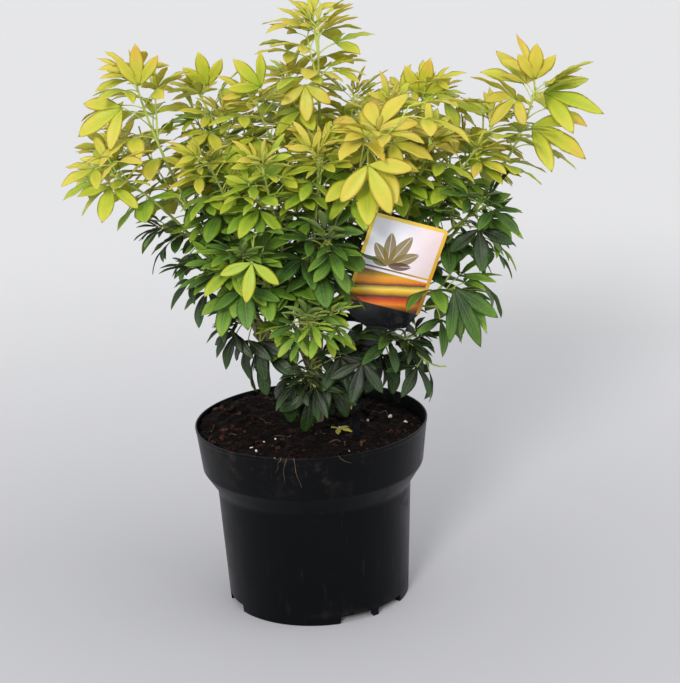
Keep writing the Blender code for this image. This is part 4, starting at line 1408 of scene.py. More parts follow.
@dataclass
class LeafRule:
    """Sets every leaf of the part again, and then the ones that only show here.

    Each size from lift to fall is that of a leaf that has just opened, and what it gains by
    full age: degrees off the stem, shares of the shoot's leaf and of its droop, and degrees.
    """

    clearance: float = 1.15 * MM
    fine_clearance: float = 0.8 * MM
    lowest: float = 184.0 * MM
    free_radius: float = 120.0 * MM
    pair_ages: tuple = (0.3, 0.85, 1.0)
    lift: tuple = (22, 46)
    length: tuple = (0.60, 0.40)
    petiole: tuple = (0.34, 0.22)
    width: tuple = (0.80, 0.20)
    rise: tuple = (12, -6)
    fall: tuple = (0.5, 0.7)
    facing: tuple = (0.75, 0.45, 0.15)
    young_stations: tuple = ((0.60, 0.50),)
    grown_stations: tuple = ((0.42, 0.42), (0.76, 0.44))
    fine_stations: tuple = ((0.22, 0.24), (0.48, 0.46), (0.72, 0.50), (0.90, 0.33))
    more_pairs: tuple = (
        (1.0, -0.45), (1.0, -0.1), (0.955, 0.45), (0.90, 0.65), (0.72, 0.95), (0.60, 1.0),
        (0.51, 1.0), (0.44, 1.0), (0.975, 0.2), (0.82, 0.8),
    )
    more_azimuth: float = 80
    more_turn: float = 67
    thin_pairs: int = 4
    plain_pairs: int = 8
    spur_shares: tuple = (0.90, 0.79, 0.68, 0.56)
    spur_pairs: tuple = ((1.0, -0.3), (0.97, 0.25), (0.74, 0.55), (0.48, 0.8))
    spur_radii: tuple = (1.2 * MM, 0.8 * MM)
    box_margin: float = 5.0 * MM
    headroom: float = 30.0 * MM
    first_more: int = 10
    first_seen: int = 50
    first_spur: int = 100
    seen_steps: int = 12
    seen_from: Vector = field(default_factory=lambda: Vector((0, -1.86, 0.83)))
    seen_outline: tuple = (
        (0.15, -0.060, 0.060), (0.19, -0.100, 0.122), (0.24, -0.110, 0.136), (0.25, -0.115, 0.185),
        (0.28, -0.140, 0.200), (0.32, -0.162, 0.208), (0.35, -0.162, 0.212), (0.385, -0.190, 0.213),
        (0.40, -0.226, 0.240), (0.43, -0.226, 0.283), (0.46, -0.216, 0.290), (0.51, -0.206, 0.285),
        (0.57, -0.190, 0.235),
    )
    gold_line: tuple = (0.355, 0.445)
    old_drop: float = 0.16
    sun_draw: float = 0.085
    placings: tuple = tuple(
        (turn, tilt, size)
        for size in (1.0, 0.82)
        for turn, tilt in (
            (0, 0), (13, 0), (-13, 0), (0, 12), (0, -12), (24, 8), (-24, 8),
            (24, -12), (-24, -12), (38, 0), (-38, 0), (50, 14), (-50, 14),
        )
    )
    guard: Guard = field(default_factory=Guard)

    @staticmethod
    def draws(name: str, pair: int, side: int) -> dict[str, float]:
        """A leaf's own random draws."""
        draw = random.Random(f"{name} {pair} {side}")
        return {kind: draw.uniform(*ends) for kind, ends in LEAF_DRAWS.items()}

    def leaf(self, branch: Branch, place: PairPlace, side: int, draw: dict, placing: tuple) -> Leaf:
        """A leaf of a branch; age goes from 0, just open, to 1, full size.

        Args:
            branch: What it grows on.
            place: Where its pair stands.
            side: 0 or 1 in the pair.
            draw: Its random draws.
            placing: A turn and a tilt in degrees, and a size.

        Returns:
            The leaf.
        """
        turn, tilt, size = placing
        shoot, age = branch.shoot, place.age
        root, stem_heading = branch.at(place.share)
        first, second = square_to(stem_heading)
        angle = math.radians(place.azimuth + 180 * side + turn + draw["azimuth"])
        outward = first * math.cos(angle) + second * math.sin(angle)
        lift = math.radians(aged(self.lift, age) + tilt + draw["lift"])
        away = stem_heading * math.cos(lift) + outward * math.sin(lift)
        length = shoot.leaf * MM * aged(self.length, age) * size * draw["size"]
        petiole = length * aged(self.petiole, age)
        sag = UP * (-0.010 * shoot.droop * age)
        along = (away + outward * 0.25 * age + sag).normalized()
        upward, forward, sideways = self.facing
        facing = UP * upward + stem_heading * forward + outward * sideways
        normal = (facing - along * facing.dot(along)).normalized()
        roll = Matrix.Rotation(math.radians(draw["roll"]), 3, along)
        return Leaf(
            root=root,
            hub=root + (away * 2 + along).normalized() * petiole,
            along=along,
            normal=roll @ normal,
            length=length,
            width=length * shoot.slim * aged(self.width, age),
            spread=math.radians(draw["spread"]),
            rise=math.radians(aged(self.rise, age)),
            fall=math.radians(-aged(self.fall, age) * shoot.droop),
            age=age,
            sun=self.sunlight(shoot, place, root + away * petiole),
            key=f"{shoot.name} {place.number} {side}",
        )

    def sunlight(self, shoot: Shoot, place: PairPlace, hub: Vector) -> float:
        """How golden a leaf is: by its shoot's tone, and less when it is old or low.

        Args:
            shoot: What it grows on.
            place: Where its pair stands.
            hub: Where its leaflets meet.

        Returns:
            0 for the darkest green to 1 for gold.
        """
        draw = random.Random(f"sun {shoot.name} {place.number} {hub.x:.3f}")
        low, high = self.gold_line
        share = min(max((high - hub.z - 0.3 * hub.y) / (high - low), 0.0), 1.0)
        fall = share * share * (3 - 2 * share)
        tone, old = shoot.tone.value, max(place.age, 0.0)
        sun = tone - shoot.tone.drop * fall - self.old_drop * old * tone + draw.gauss(0, self.sun_draw)
        # The shoot's added tone paints light where it is raised and shade where it is lowered.
        return min(max(sun + shoot.gilt_and_painted_light, 0.02), 1.0)

    def stands_clear_of_pot(self, verts: list[Vector]) -> bool:
        """Whether no corner reaches the pot or its soil."""
        return all(v.z > self.lowest or math.hypot(v.x, v.y) > self.free_radius for v in verts)

    def stays_in_box(self, verts: list[Vector]) -> bool:
        """Whether no corner leaves the part's box by more than the margin."""
        low, high = (Vector(corner) for corner in CAD_BOX)
        edge = self.box_margin
        return all(low[i] - edge < v[i] < high[i] + edge for v in verts for i in range(3))

    def stays_low(self, shoot: Shoot, verts: list[Vector]) -> bool:
        """Whether no corner rises above the shoot's tip by more than the headroom."""
        return all(v.z < shoot.tip[2] * MM + self.headroom for v in verts)

    def stays_in_outline(self, verts: list[Vector]) -> bool:
        """Whether every corner is in the bush's outline as it shows from the front.

        Args:
            verts: The corners.

        Returns:
            True if so. The outline is given by its heights, left and right in the plane
            through the pot's middle.
        """
        heights, lefts, rights = zip(*self.seen_outline)
        for v in verts:
            share = self.seen_from.y / (self.seen_from.y - v.y)
            height = self.seen_from.z + (v.z - self.seen_from.z) * share
            low, high = np.interp(height, heights, lefts), np.interp(height, heights, rights)
            if not low < v.x * share < high:
                return False
        return True

    def place_leaf(
        self, branch: Branch, place: PairPlace, side: int, stations: Stations, reach: float,
        extra: bool = False,
    ) -> Leaf | None:
        """Turns, tilts or shrinks a leaf until it is clear.

        Args:
            branch: What it grows on.
            place: Where its pair stands.
            side: 0 or 1 in the pair.
            stations: The outline to test.
            reach: The clearance to keep.
            extra: Whether the part doesn't have the leaf, which then stays in its box.

        Returns:
            The leaf, or None if no placing is clear.
        """
        draw = self.draws(branch.shoot.name, place.number, side)
        for placing in self.placings:
            leaf = self.leaf(branch, place, side, draw, placing)
            verts, faces = leaf.surface(stations)
            if extra and not (self.stays_in_box(verts) and self.stays_low(branch.shoot, verts)
                              and self.stays_in_outline(verts)):
                continue
            if self.takes(branch.shoot.name, verts, faces, reach):
                return leaf
        return None

    def takes(self, owner: str, verts: list[Vector], faces: list[tuple[int, ...]], reach: float) -> bool:
        """Puts a leaf in the guard if it is clear of the pot and of all in the guard.

        Args:
            owner: The stem's name.
            verts: The leaf's corners.
            faces: Its faces, the petiole's two first.
            reach: The clearance to keep.

        Returns:
            True if it is clear.
        """
        if not self.stands_clear_of_pot(verts):
            return False
        whole, blade = thick_shell(verts, faces, reach), thick_shell(verts, faces[2:], reach)
        clear = self.guard.is_clear(owner, whole, blade)
        if clear:
            self.guard.add(owner, verts, faces)
        return clear

    def stand_wood(self, branches: list[Branch]) -> None:
        """Puts the label, the limbs and the stems in the guard."""
        self.guard = Guard()
        self.guard.add("plant_label", *Label().guard())
        for limb in LIMBS:
            points = [cubic(*limb_curve(limb), i / 3)[0] for i in range(4)]
            self.guard.add("woody_base", *tube_surface(points, LIMB_RADII))
        for branch in branches:
            self.guard.add("woody_base", *tube_surface(branch.points(TWIG_JOINTS), TWIG_RADII))
            self.guard.add(branch.shoot.name, *tube_surface(branch.points(STEM_JOINTS), STEM_RADII))

    def grow(self, branches: list[Branch]) -> dict[str, list[Leaf]]:
        """Sets every leaf.

        Args:
            branches: What they grow on.

        Returns:
            The leaves of each shoot by its name.
        """
        self.stand_wood(branches)
        leaves: dict[str, list[Leaf]] = {branch.shoot.name: [] for branch in branches}
        for order in (1, 0, 2):
            for branch in branches:
                shoot = branch.shoot
                if order > shoot.pairs:
                    continue
                share, age = STEM_JOINTS[3 - order], self.pair_ages[order]
                place = PairPlace(order, share, 45 + shoot.turn + 90 * order, age)
                stations = self.young_stations if age < 0.5 else self.grown_stations
                for side in (0, 1):
                    leaf = self.place_leaf(branch, place, side, stations, self.clearance)
                    if leaf:
                        leaves[shoot.name].append(leaf)
        LOG.info("leaves as in the part: %d", sum(map(len, leaves.values())))
        self.stand_wood(branches)
        for name, grown in leaves.items():
            for leaf in grown:
                self.guard.add(name, *leaf.surface(self.fine_stations))
        for sheet in Label().view_sheets():
            self.guard.add("label_view", *sheet)
        for number, seen in enumerate(SEEN_LEAVES):
            branch = next(branch for branch in branches if branch.shoot.name == seen.shoot)
            leaf = self.place_seen(branch, seen, number)
            if leaf:
                leaves[seen.shoot].append(leaf)
        for number, (share, age) in enumerate(self.more_pairs):
            for branch in branches:
                if number < self.most_pairs(branch.shoot):
                    azimuth = self.more_azimuth + branch.shoot.turn + self.more_turn * number
                    place = PairPlace(self.first_more + number, share, azimuth, age)
                    self.add_pair(leaves, branch, place)
        LOG.info("leaves in all: %d", sum(map(len, leaves.values())))
        return leaves

    def place_seen(self, branch: Branch, seen: SeenLeaf, number: int) -> Leaf | None:
        """Sets a leaf at its listed place, a little nearer to the front each time it isn't clear.

        Args:
            branch: What it grows on.
            seen: Where it stands and how it is turned.
            number: Its number among the leaves of this kind.

        Returns:
            The leaf, or None if no place is clear.
        """
        along, root = Vector(seen.along).normalized(), branch.at(seen.share)[0]
        facing = Vector(seen.normal)
        normal = (facing - along * facing.dot(along)).normalized()
        place = PairPlace(self.first_seen, seen.share, 0, 0.4)
        for step in range(self.seen_steps):
            hub = Vector(seen.hub) * MM + FRONT * (step // 2 * 4 * MM) + UP * (step % 2 * 5 * MM)
            length = seen.length * MM
            leaf = Leaf(
                root=root, hub=hub, along=along, normal=normal, length=length,
                width=length * seen.slim, spread=math.radians(seen.spread),
                rise=math.radians(8), fall=math.radians(-seen.droop), age=0.75,
                # The seen leaf's added tone is gilding with painted light.
                sun=min(1.0, self.sunlight(branch.shoot, place, hub) + seen.gilt_and_painted_light),
                key=f"{seen.shoot} {self.first_seen + number} 0",
            )
            if self.takes(seen.shoot, *leaf.surface(self.fine_stations), self.fine_clearance):
                return leaf
        LOG.info("no clear place for seen leaf %d of %s", number, seen.shoot)
        return None

    @staticmethod
    def is_thin(shoot: Shoot) -> bool:
        """Whether a shoot is one of the sparse dark ones with narrow leaflets."""
        return shoot.tone is Tone.DARK and shoot.slim < 0.31

    def most_pairs(self, shoot: Shoot) -> int:
        """How many of the extra pairs a shoot may bear: all if it is golden."""
        if self.is_thin(shoot):
            return self.thin_pairs
        return min(shoot.most_pairs, 99 if shoot.tone is Tone.GOLD else self.plain_pairs)

    def add_pair(self, leaves: dict[str, list[Leaf]], branch: Branch, place: PairPlace) -> int:
        """Adds the leaves of a pair that find a clear place, and gives their number."""
        found = 0
        for side in (0, 1):
            leaf = self.place_leaf(branch, place, side, self.fine_stations, self.fine_clearance, True)
            if leaf:
                leaves[branch.shoot.name].append(leaf)
                found += 1
        return found

    def grow_spurs(self, branches: list[Branch], leaves: dict[str, list[Leaf]]) -> list[Spur]:
        """Sets the side shoots and their leaves.

        Args:
            branches: The stems they stand on.
            leaves: All leaves so far, to which theirs are added.

        Returns:
            The side shoots that found a clear place and bear leaves.
        """
        spurs = []
        for number, share in enumerate(self.spur_shares):
            for branch in branches:
                if self.is_thin(branch.shoot):
                    continue
                spur = Spur(branch, share, number)
                points = spur.points((0.0, 0.3, 0.65, 1.0))
                whole = tube_surface(points, self.spur_radii)
                free = tube_surface(points[1:], self.spur_radii)
                if not self.stays_in_box(points) or not self.stands_clear_of_pot(points):
                    continue
                if not self.guard.is_clear(branch.shoot.name, whole, free):
                    continue
                self.guard.add(branch.shoot.name, *whole)
                found = 0
                for pair, (along, age) in enumerate(self.spur_pairs):
                    place = PairPlace(self.first_spur + 10 * number + pair, along, 60 + 90 * pair, age)
                    found += self.add_pair(leaves, spur, place)
                if found:
                    spurs.append(spur)
        LOG.info("side shoots: %d, leaves in all: %d", len(spurs), sum(map(len, leaves.values())))
        return spurs


# Fine blades


class BladeMaker:
    """Turns a leaf into three fine leaflets and a petiole.

    Sway, cupping and ripple are shares of a leaflet's length or half width, twist is in
    radians, folds are in degrees and waves are counted along a leaflet.
    """

    THICKNESS = 0.32 * MM
    WIDEST = 0.43
    LEAST_HALF = 0.55 * MM
    WIDTHS = (0.94, 1.06)
    SWAY = 0.05
    TWIST = 0.22
    FOLDS = (4, 11)
    YOUNG_FOLD = 22
    WAVES = (1.4, 2.6)
    CUPPING = (0.02, 0.16)
    RIPPLE = 0.09
    RIB_GROOVE = 0.22 * MM
    RIB_RIDGE = 0.5 * MM
    SUN_DRAW = 0.035
    FINE = (-1.0, -0.66, -0.30, 0.0, 0.30, 0.66, 1.0)
    COARSE = (-1.0, -0.5, 0.0, 0.5, 1.0)
    PETIOLE_SHARES = (0.0, 0.06, 0.2, 0.4, 0.6, 0.8, 0.95, 1.0)
    PETIOLE_RADII = (1.15, 0.95, 0.70, 0.62, 0.58, 0.58, 0.66, 0.72, 0.45)

    def __init__(self, rows: int, across: Sequence[float]) -> None:
        """Works out what all leaflets share: the stations and the faces.

        Args:
            rows: Stations along a leaflet.
            across: Places across it, from -1 to 1.
        """
        columns = len(across)
        self.shares = np.linspace(0, 1, rows) ** 0.92
        self.across = np.array(across)
        self.petioles = TubeMaker(6)
        top = np.arange((rows - 1) * columns).reshape(rows - 1, columns)
        tip = top.size
        bottom = top.copy()
        inner = (rows - 2) * (columns - 2)
        bottom[1:, 1:-1] = tip + 1 + np.arange(inner).reshape(rows - 2, columns - 2)
        faces, marks, maps = [], [], []
        v_of = (self.across + 1) / 2
        for grid, under in ((top, 0), (bottom, 1)):
            for i in range(rows - 2):
                for j in range(columns - 1):
                    face = [(i, j), (i, j + 1), (i + 1, j + 1), (i + 1, j)]
                    face = face[::-1] if under else face
                    faces.append([grid[a, b] for a, b in face])
                    maps.append([(v_of[b], self.shares[a]) for a, b in face])
                    marks.append(under)
            for j in range(columns - 1):
                face = [grid[-1, j], grid[-1, j + 1], tip]
                spots = [(v_of[j], self.shares[-2]), (v_of[j + 1], self.shares[-2]),
                         ((v_of[j] + v_of[j + 1]) / 2, 1.0)]
                faces.append(face[::-1] if under else face)
                maps.append(spots[::-1] if under else spots)
                marks.append(under)
        self.corners = np.array([i for face in faces for i in face])
        self.totals = np.array([len(face) for face in faces])
        self.under = np.array(marks, float)
        flat = np.array([spot for face in maps for spot in face])
        self.map_x, self.map_y = flat[:, 0], flat[:, 1]
        self.corner_under = np.repeat(self.under, self.totals)

    @staticmethod
    def half_width(shares: np.ndarray, age: float) -> np.ndarray:
        """Half the width over the width, with a tip that is more pointed on young leaves.

        Args:
            shares: Places along the leaflet.
            age: The leaf's age.

        Returns:
            One number for each place.
        """
        rise, end = 1.12, 0.90 + 0.28 * (1 - age)
        peak = rise / (rise + end)
        shape = (shares / peak) ** rise * ((1 - shares) / (1 - peak)) ** end
        return 0.5 * np.clip(shape, 0.0, 1.0)

    def leaflet(self, parts: MeshParts, leaf: Leaf, side: int, cells: tuple) -> None:
        """Adds one leaflet.

        Args:
            parts: The mesh in the making.
            leaf: The leaf it belongs to.
            side: -1, 0 or 1.
            cells: Its cells on the map, for the top and the underside.
        """
        draw = random.Random(f"{leaf.key} leaflet {side}")
        shrink = SIDE_LEAFLET if side else 1.0
        slender = 0.80 + 0.28 * min(max(leaf.age, 0.0), 1.0)
        length = leaf.length * shrink
        width = min(leaf.width * slender, self.WIDEST * leaf.length) * shrink * draw.uniform(*self.WIDTHS)
        angle = side * leaf.spread
        out = leaf.along * math.cos(angle) + leaf.left * math.sin(angle)
        beside = np.array(leaf.normal.cross(out))
        out, normal, hub = np.array(out), np.array(leaf.normal), np.array(leaf.hub)
        t = self.shares[:-1, None]
        slope = leaf.rise + (leaf.fall - leaf.rise) * self.shares
        sweep = leaf.fall - leaf.rise
        reach = length * (np.sin(slope) - math.sin(leaf.rise)) / sweep
        height = length * (math.cos(leaf.rise) - np.cos(slope)) / sweep
        base = HUB_RADIUS * (1 - 0.8 * (1 - self.shares) ** 4)
        sway = draw.uniform(-self.SWAY, self.SWAY) * length * self.shares**2
        rib = hub + np.outer(base + reach, out) + np.outer(height, normal) + np.outer(sway, beside)
        lifted = -np.outer(np.sin(slope), out) + np.outer(np.cos(slope), normal)
        twist = draw.uniform(-self.TWIST, self.TWIST) * self.shares
        sideways = np.outer(np.cos(twist), beside) + np.sin(twist)[:, None] * lifted
        facing = np.cos(twist)[:, None] * lifted - np.outer(np.sin(twist), beside)
        half = np.maximum(self.half_width(self.shares, leaf.age) * width, self.LEAST_HALF)[:-1, None]
        v = self.across[None, :]
        young = max(0.0, 0.7 - leaf.age)
        fold = math.tan(math.radians(draw.uniform(*self.FOLDS) + self.YOUNG_FOLD * young))
        waves = draw.uniform(*self.WAVES) * math.tau
        ripple = np.where(v < 0, np.sin(waves * t + draw.uniform(0, 6)),
                          np.sin(waves * t + draw.uniform(0, 6)))
        relief = half * fold * (np.abs(v) - 0.45)
        relief = relief - half * draw.uniform(*self.CUPPING) * np.abs(v) ** 3
        relief = relief + ripple * v**2 * half * self.RIPPLE
        relief = relief - self.RIB_GROOVE * np.exp(-((v / 0.2) ** 2))
        top = (rib[:-1, None, :] + sideways[:-1, None, :] * (v * half)[..., None]
               + facing[:-1, None, :] * relief[..., None])
        depth = self.THICKNESS + self.RIB_RIDGE * np.exp(-((v / 0.25) ** 2)) * (1 - 0.85 * t)
        low = top[1:, 1:-1] - facing[1:-1, None, :] * depth[1:, 1:-1, None]
        points = np.concatenate([top.reshape(-1, 3), rib[-1:], low.reshape(-1, 3)])
        along, across = np.broadcast_arrays(t, v)
        off_rib = np.abs(across) * half / MM
        marks = np.stack([along, across, off_rib], axis=-1)
        blade = np.concatenate([marks.reshape(-1, 3), [[1.0, 0.0, 0.0]], marks[1:, 1:-1].reshape(-1, 3)])
        over = cell_uv(self.map_x, self.map_y, cells[0])
        beneath = cell_uv(self.map_x, self.map_y, cells[1])
        uv = np.where(self.corner_under[:, None] > 0, beneath, over)
        sun = min(max(leaf.sun + draw.uniform(-self.SUN_DRAW, self.SUN_DRAW), 0.0), 1.0)
        parts.add(points, self.corners, self.totals, uv, 0, self.under, blade, sun, draw.random())

    def petiole(self, parts: MeshParts, leaf: Leaf, cell: tuple, slot: int) -> None:
        """Adds the petiole: a thin tube that leaves the stem and bends to the hub.

        Args:
            parts: The mesh in the making.
            leaf: The leaf.
            cell: Its cell on the map.
            slot: Its material slot.
        """
        away = leaf.hub - leaf.root
        rise = (leaf.normal * 0.07 - leaf.along * 0.02) * away.length
        path = [leaf.root + away * s + rise * math.sin(math.pi * s) for s in self.PETIOLE_SHARES]
        path.append(leaf.hub + leaf.along * HUB_RADIUS * 0.7)
        grown = 0.75 + 0.25 * leaf.age
        radii = [radius * MM * grown for radius in self.PETIOLE_RADII]
        sun = [min(1.0, 0.35 + 0.6 * leaf.sun)] * len(path)
        self.petioles.add(parts, path, radii, cell, slot, sun, 0.5)

    def add(self, parts: MeshParts, leaf: Leaf, cell: Triple, slot: int) -> None:
        """Adds a whole leaf.

        Args:
            parts: The mesh in the making.
            leaf: The leaf.
            cell: Left, bottom and size of its square on the map.
            slot: The petiole's material slot.
        """
        left, low, size = cell
        wide, high = size / 4, size / 2
        for column, side in enumerate((-1, 0, 1)):
            x = left + wide * column
            self.leaflet(parts, leaf, side, ((x, low + high, wide, high), (x, low, wide, high)))
        self.petiole(parts, leaf, (left + 3 * wide, low, wide, size), slot)


@dataclass
class Foliage:
    """All leafy stems, one piece each."""

    leaf_material: Material
    stem_material: Material
    branches: list[Branch]
    leaves: dict[str, list[Leaf]]
    spurs: list[Spur]
    stem_steps: int = 26
    joints: tuple = (1.0, 0.985, 0.90, 0.80, 0.72, 0.60, 0.51, 0.44)
    joint_width: float = 0.012
    joint_swell: float = 0.22
    small: float = 32.0 * MM

    def stem(self, parts: MeshParts, branch: Branch, cell: tuple) -> None:
        """Adds the smooth stem, a little thicker at each joint.

        Args:
            parts: The mesh in the making.
            branch: Its path.
            cell: Its cell on the map.
        """
        shares = np.linspace(TWIG_SHARE - 0.02, 1.0, self.stem_steps)
        radii = []
        for share in shares:
            way = (share - TWIG_SHARE) / (1 - TWIG_SHARE)
            radius = STEM_RADII[0] + (STEM_RADII[1] - STEM_RADII[0]) * max(way, 0.0)
            swell = sum(math.exp(-(((share - joint) / self.joint_width) ** 2)) for joint in self.joints)
            radii.append(radius * (1 + self.joint_swell * min(swell, 1.0)))
        path = branch.points(shares)
        sun = [0.15 + 0.75 * branch.shoot.tone.value * max(s - TWIG_SHARE, 0) / (1 - TWIG_SHARE)
               for s in shares]
        TubeMaker(9).add(parts, path, radii, cell, 1, sun, 0.5)

    def spur(self, parts: MeshParts, spur: Spur, cell: tuple) -> None:
        """Adds a side shoot's stem."""
        path = spur.points(np.linspace(0.0, 1.0, 8))
        radii = np.interp(np.linspace(0, 1, 8), (0.0, 0.12, 1.0), (1.5 * MM, 1.1 * MM, 0.7 * MM))
        TubeMaker(7).add(parts, path, radii, cell, 1, [0.3 + 0.6 * spur.shoot.tone.value] * 8, 0.5)

    def build(self) -> list[Object]:
        """Builds every shoot.

        Returns:
            The pieces.
        """
        pieces = []
        fine, coarse = BladeMaker(12, BladeMaker.FINE), BladeMaker(9, BladeMaker.COARSE)
        for branch in self.branches:
            shoot = branch.shoot
            grown = self.leaves[shoot.name]
            spurs = [spur for spur in self.spurs if spur.shoot is shoot]
            parts = MeshParts()
            grid = math.ceil(math.sqrt(len(grown) + 1))
            size = 1 / grid
            self.stem(parts, branch, (0.0, 0.0, size * 0.5, size))
            for number, spur in enumerate(spurs):
                self.spur(parts, spur, (size * (0.5 + number / 8), 0.0, size / 8, size))
            for number, leaf in enumerate(grown, start=1):
                cell = ((number % grid) * size, (number // grid) * size, size)
                (fine if leaf.length > self.small else coarse).add(parts, leaf, cell, 1)
            piece = parts.build("leafy_" + shoot.name, (self.leaf_material, self.stem_material))
            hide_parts("shoot_" + shoot.name)
            pieces.append(piece)
        return pieces


# Wood


@dataclass
class WoodyBase:
    """Trunk, limbs and the woody feet of the shoots, grown together."""

    material: Material
    branches: list[Branch]
    foot_height: float = 130.3 * MM
    bend_height: float = 178.0 * MM
    trunk_radii: tuple = (6.4 * MM, 5.4 * MM)
    voxel: float = 1.15 * MM

    def build(self) -> Object:
        """Builds the piece.

        Returns:
            The piece.
        """
        parts, tubes = MeshParts(), TubeMaker(12)
        cell = (0.0, 0.0, 1.0, 1.0)
        foot = Vector((TRUNK_FOOT.x, TRUNK_FOOT.y, self.foot_height))
        bend = Vector((TRUNK_FOOT.x, TRUNK_FOOT.y, self.bend_height))
        tall = Vector((TRUNK_TOP.x, TRUNK_TOP.y, 203 * MM))
        trunk = [cubic(foot, bend, bend, tall, i / 12)[0] for i in range(13)]
        self.limb(parts, tubes, trunk, self.trunk_radii, cell)
        for limb in LIMBS:
            path = [cubic(*limb_curve(limb), i / 14)[0] for i in range(15)]
            self.limb(parts, tubes, path, LIMB_RADII, cell)
        for branch in self.branches:
            path = branch.points(np.linspace(0, TWIG_SHARE, 16))
            self.limb(parts, tubes, path, TWIG_RADII, cell)
        rough = parts.build("rough_wood", (self.material,))
        remesh = rough.modifiers.new("grown together", "REMESH")
        remesh.mode = "VOXEL"
        remesh.voxel_size = self.voxel
        soften = rough.modifiers.new("softened", "SMOOTH")
        soften.factor = 0.5
        soften.iterations = 2
        mesh = shaped(rough)
        bpy.data.objects.remove(rough, do_unlink=True)
        coat(mesh, self.material)
        piece = placed("wood", mesh)
        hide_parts("woody_base")
        return piece

    @staticmethod
    def limb(parts: MeshParts, tubes: TubeMaker, path: list[Vector], radii: tuple, cell: tuple) -> None:
        """Adds a tapering limb with a few knots.

        Args:
            parts: The mesh in the making.
            tubes: Makes it.
            path: Its middle line.
            radii: Radius at the start and at the end.
            cell: Its cell on the map.
        """
        draw = random.Random(f"knots {path[-1].x:.4f}")
        sizes = []
        for i in range(len(path)):
            share = i / (len(path) - 1)
            size = radii[0] + (radii[1] - radii[0]) * share
            sizes.append(size * (1 + 0.10 * draw.uniform(-0.4, 1.0)))
        tubes.add(parts, path, sizes, cell, 0, [0.5] * len(path), 0.5)


# Pot


def rounded(corners: Sequence[Triple], steps: int = 4) -> list[tuple[float, float]]:
    """A profile with rounded corners.

    Args:
        corners: Radius, height and corner rounding.
        steps: Pieces of each rounding.

    Returns:
        Radius and height of each point.
    """
    points: list[tuple[float, float]] = []
    for i, (x, z, bend) in enumerate(corners):
        here = Vector((x, z))
        if not bend or i in (0, len(corners) - 1):
            points.append((x, z))
            continue
        before = (Vector(corners[i - 1][:2]) - here).normalized()
        after = (Vector(corners[i + 1][:2]) - here).normalized()
        start, stop = here + before * bend, here + after * bend
        for step in range(steps + 1):
            t = step / steps
            spot = start * (1 - t) ** 2 + here * 2 * t * (1 - t) + stop * t * t
            points.append((spot.x, spot.y))
    return points


def turned(name: str, profile: Sequence[tuple[float, float]], sides: int) -> Object:
    """Turns a profile that starts and ends on the axis.

    Args:
        name: The object's name.
        profile: Radius and height of each point.
        sides: Sides round the axis.

    Returns:
        The object.
    """
    mesh = bpy.data.meshes.new(name)
    verts = [(radius, 0, height) for radius, height in profile]
    mesh.from_pydata(verts, [(i, i + 1) for i in range(len(verts) - 1)], [])
    obj = placed(name, mesh)
    screw = obj.modifiers.new("turn", "SCREW")
    screw.steps = screw.render_steps = sides
    screw.use_merge_vertices = True
    screw.merge_threshold = 0.001 * MM
    apply_modifiers(obj)
    return obj


def apply_modifiers(obj: Object) -> None:
    """Gives an object the mesh that its modifiers make."""
    mesh = shaped(obj)
    obj.modifiers.clear()
    obj.data = mesh


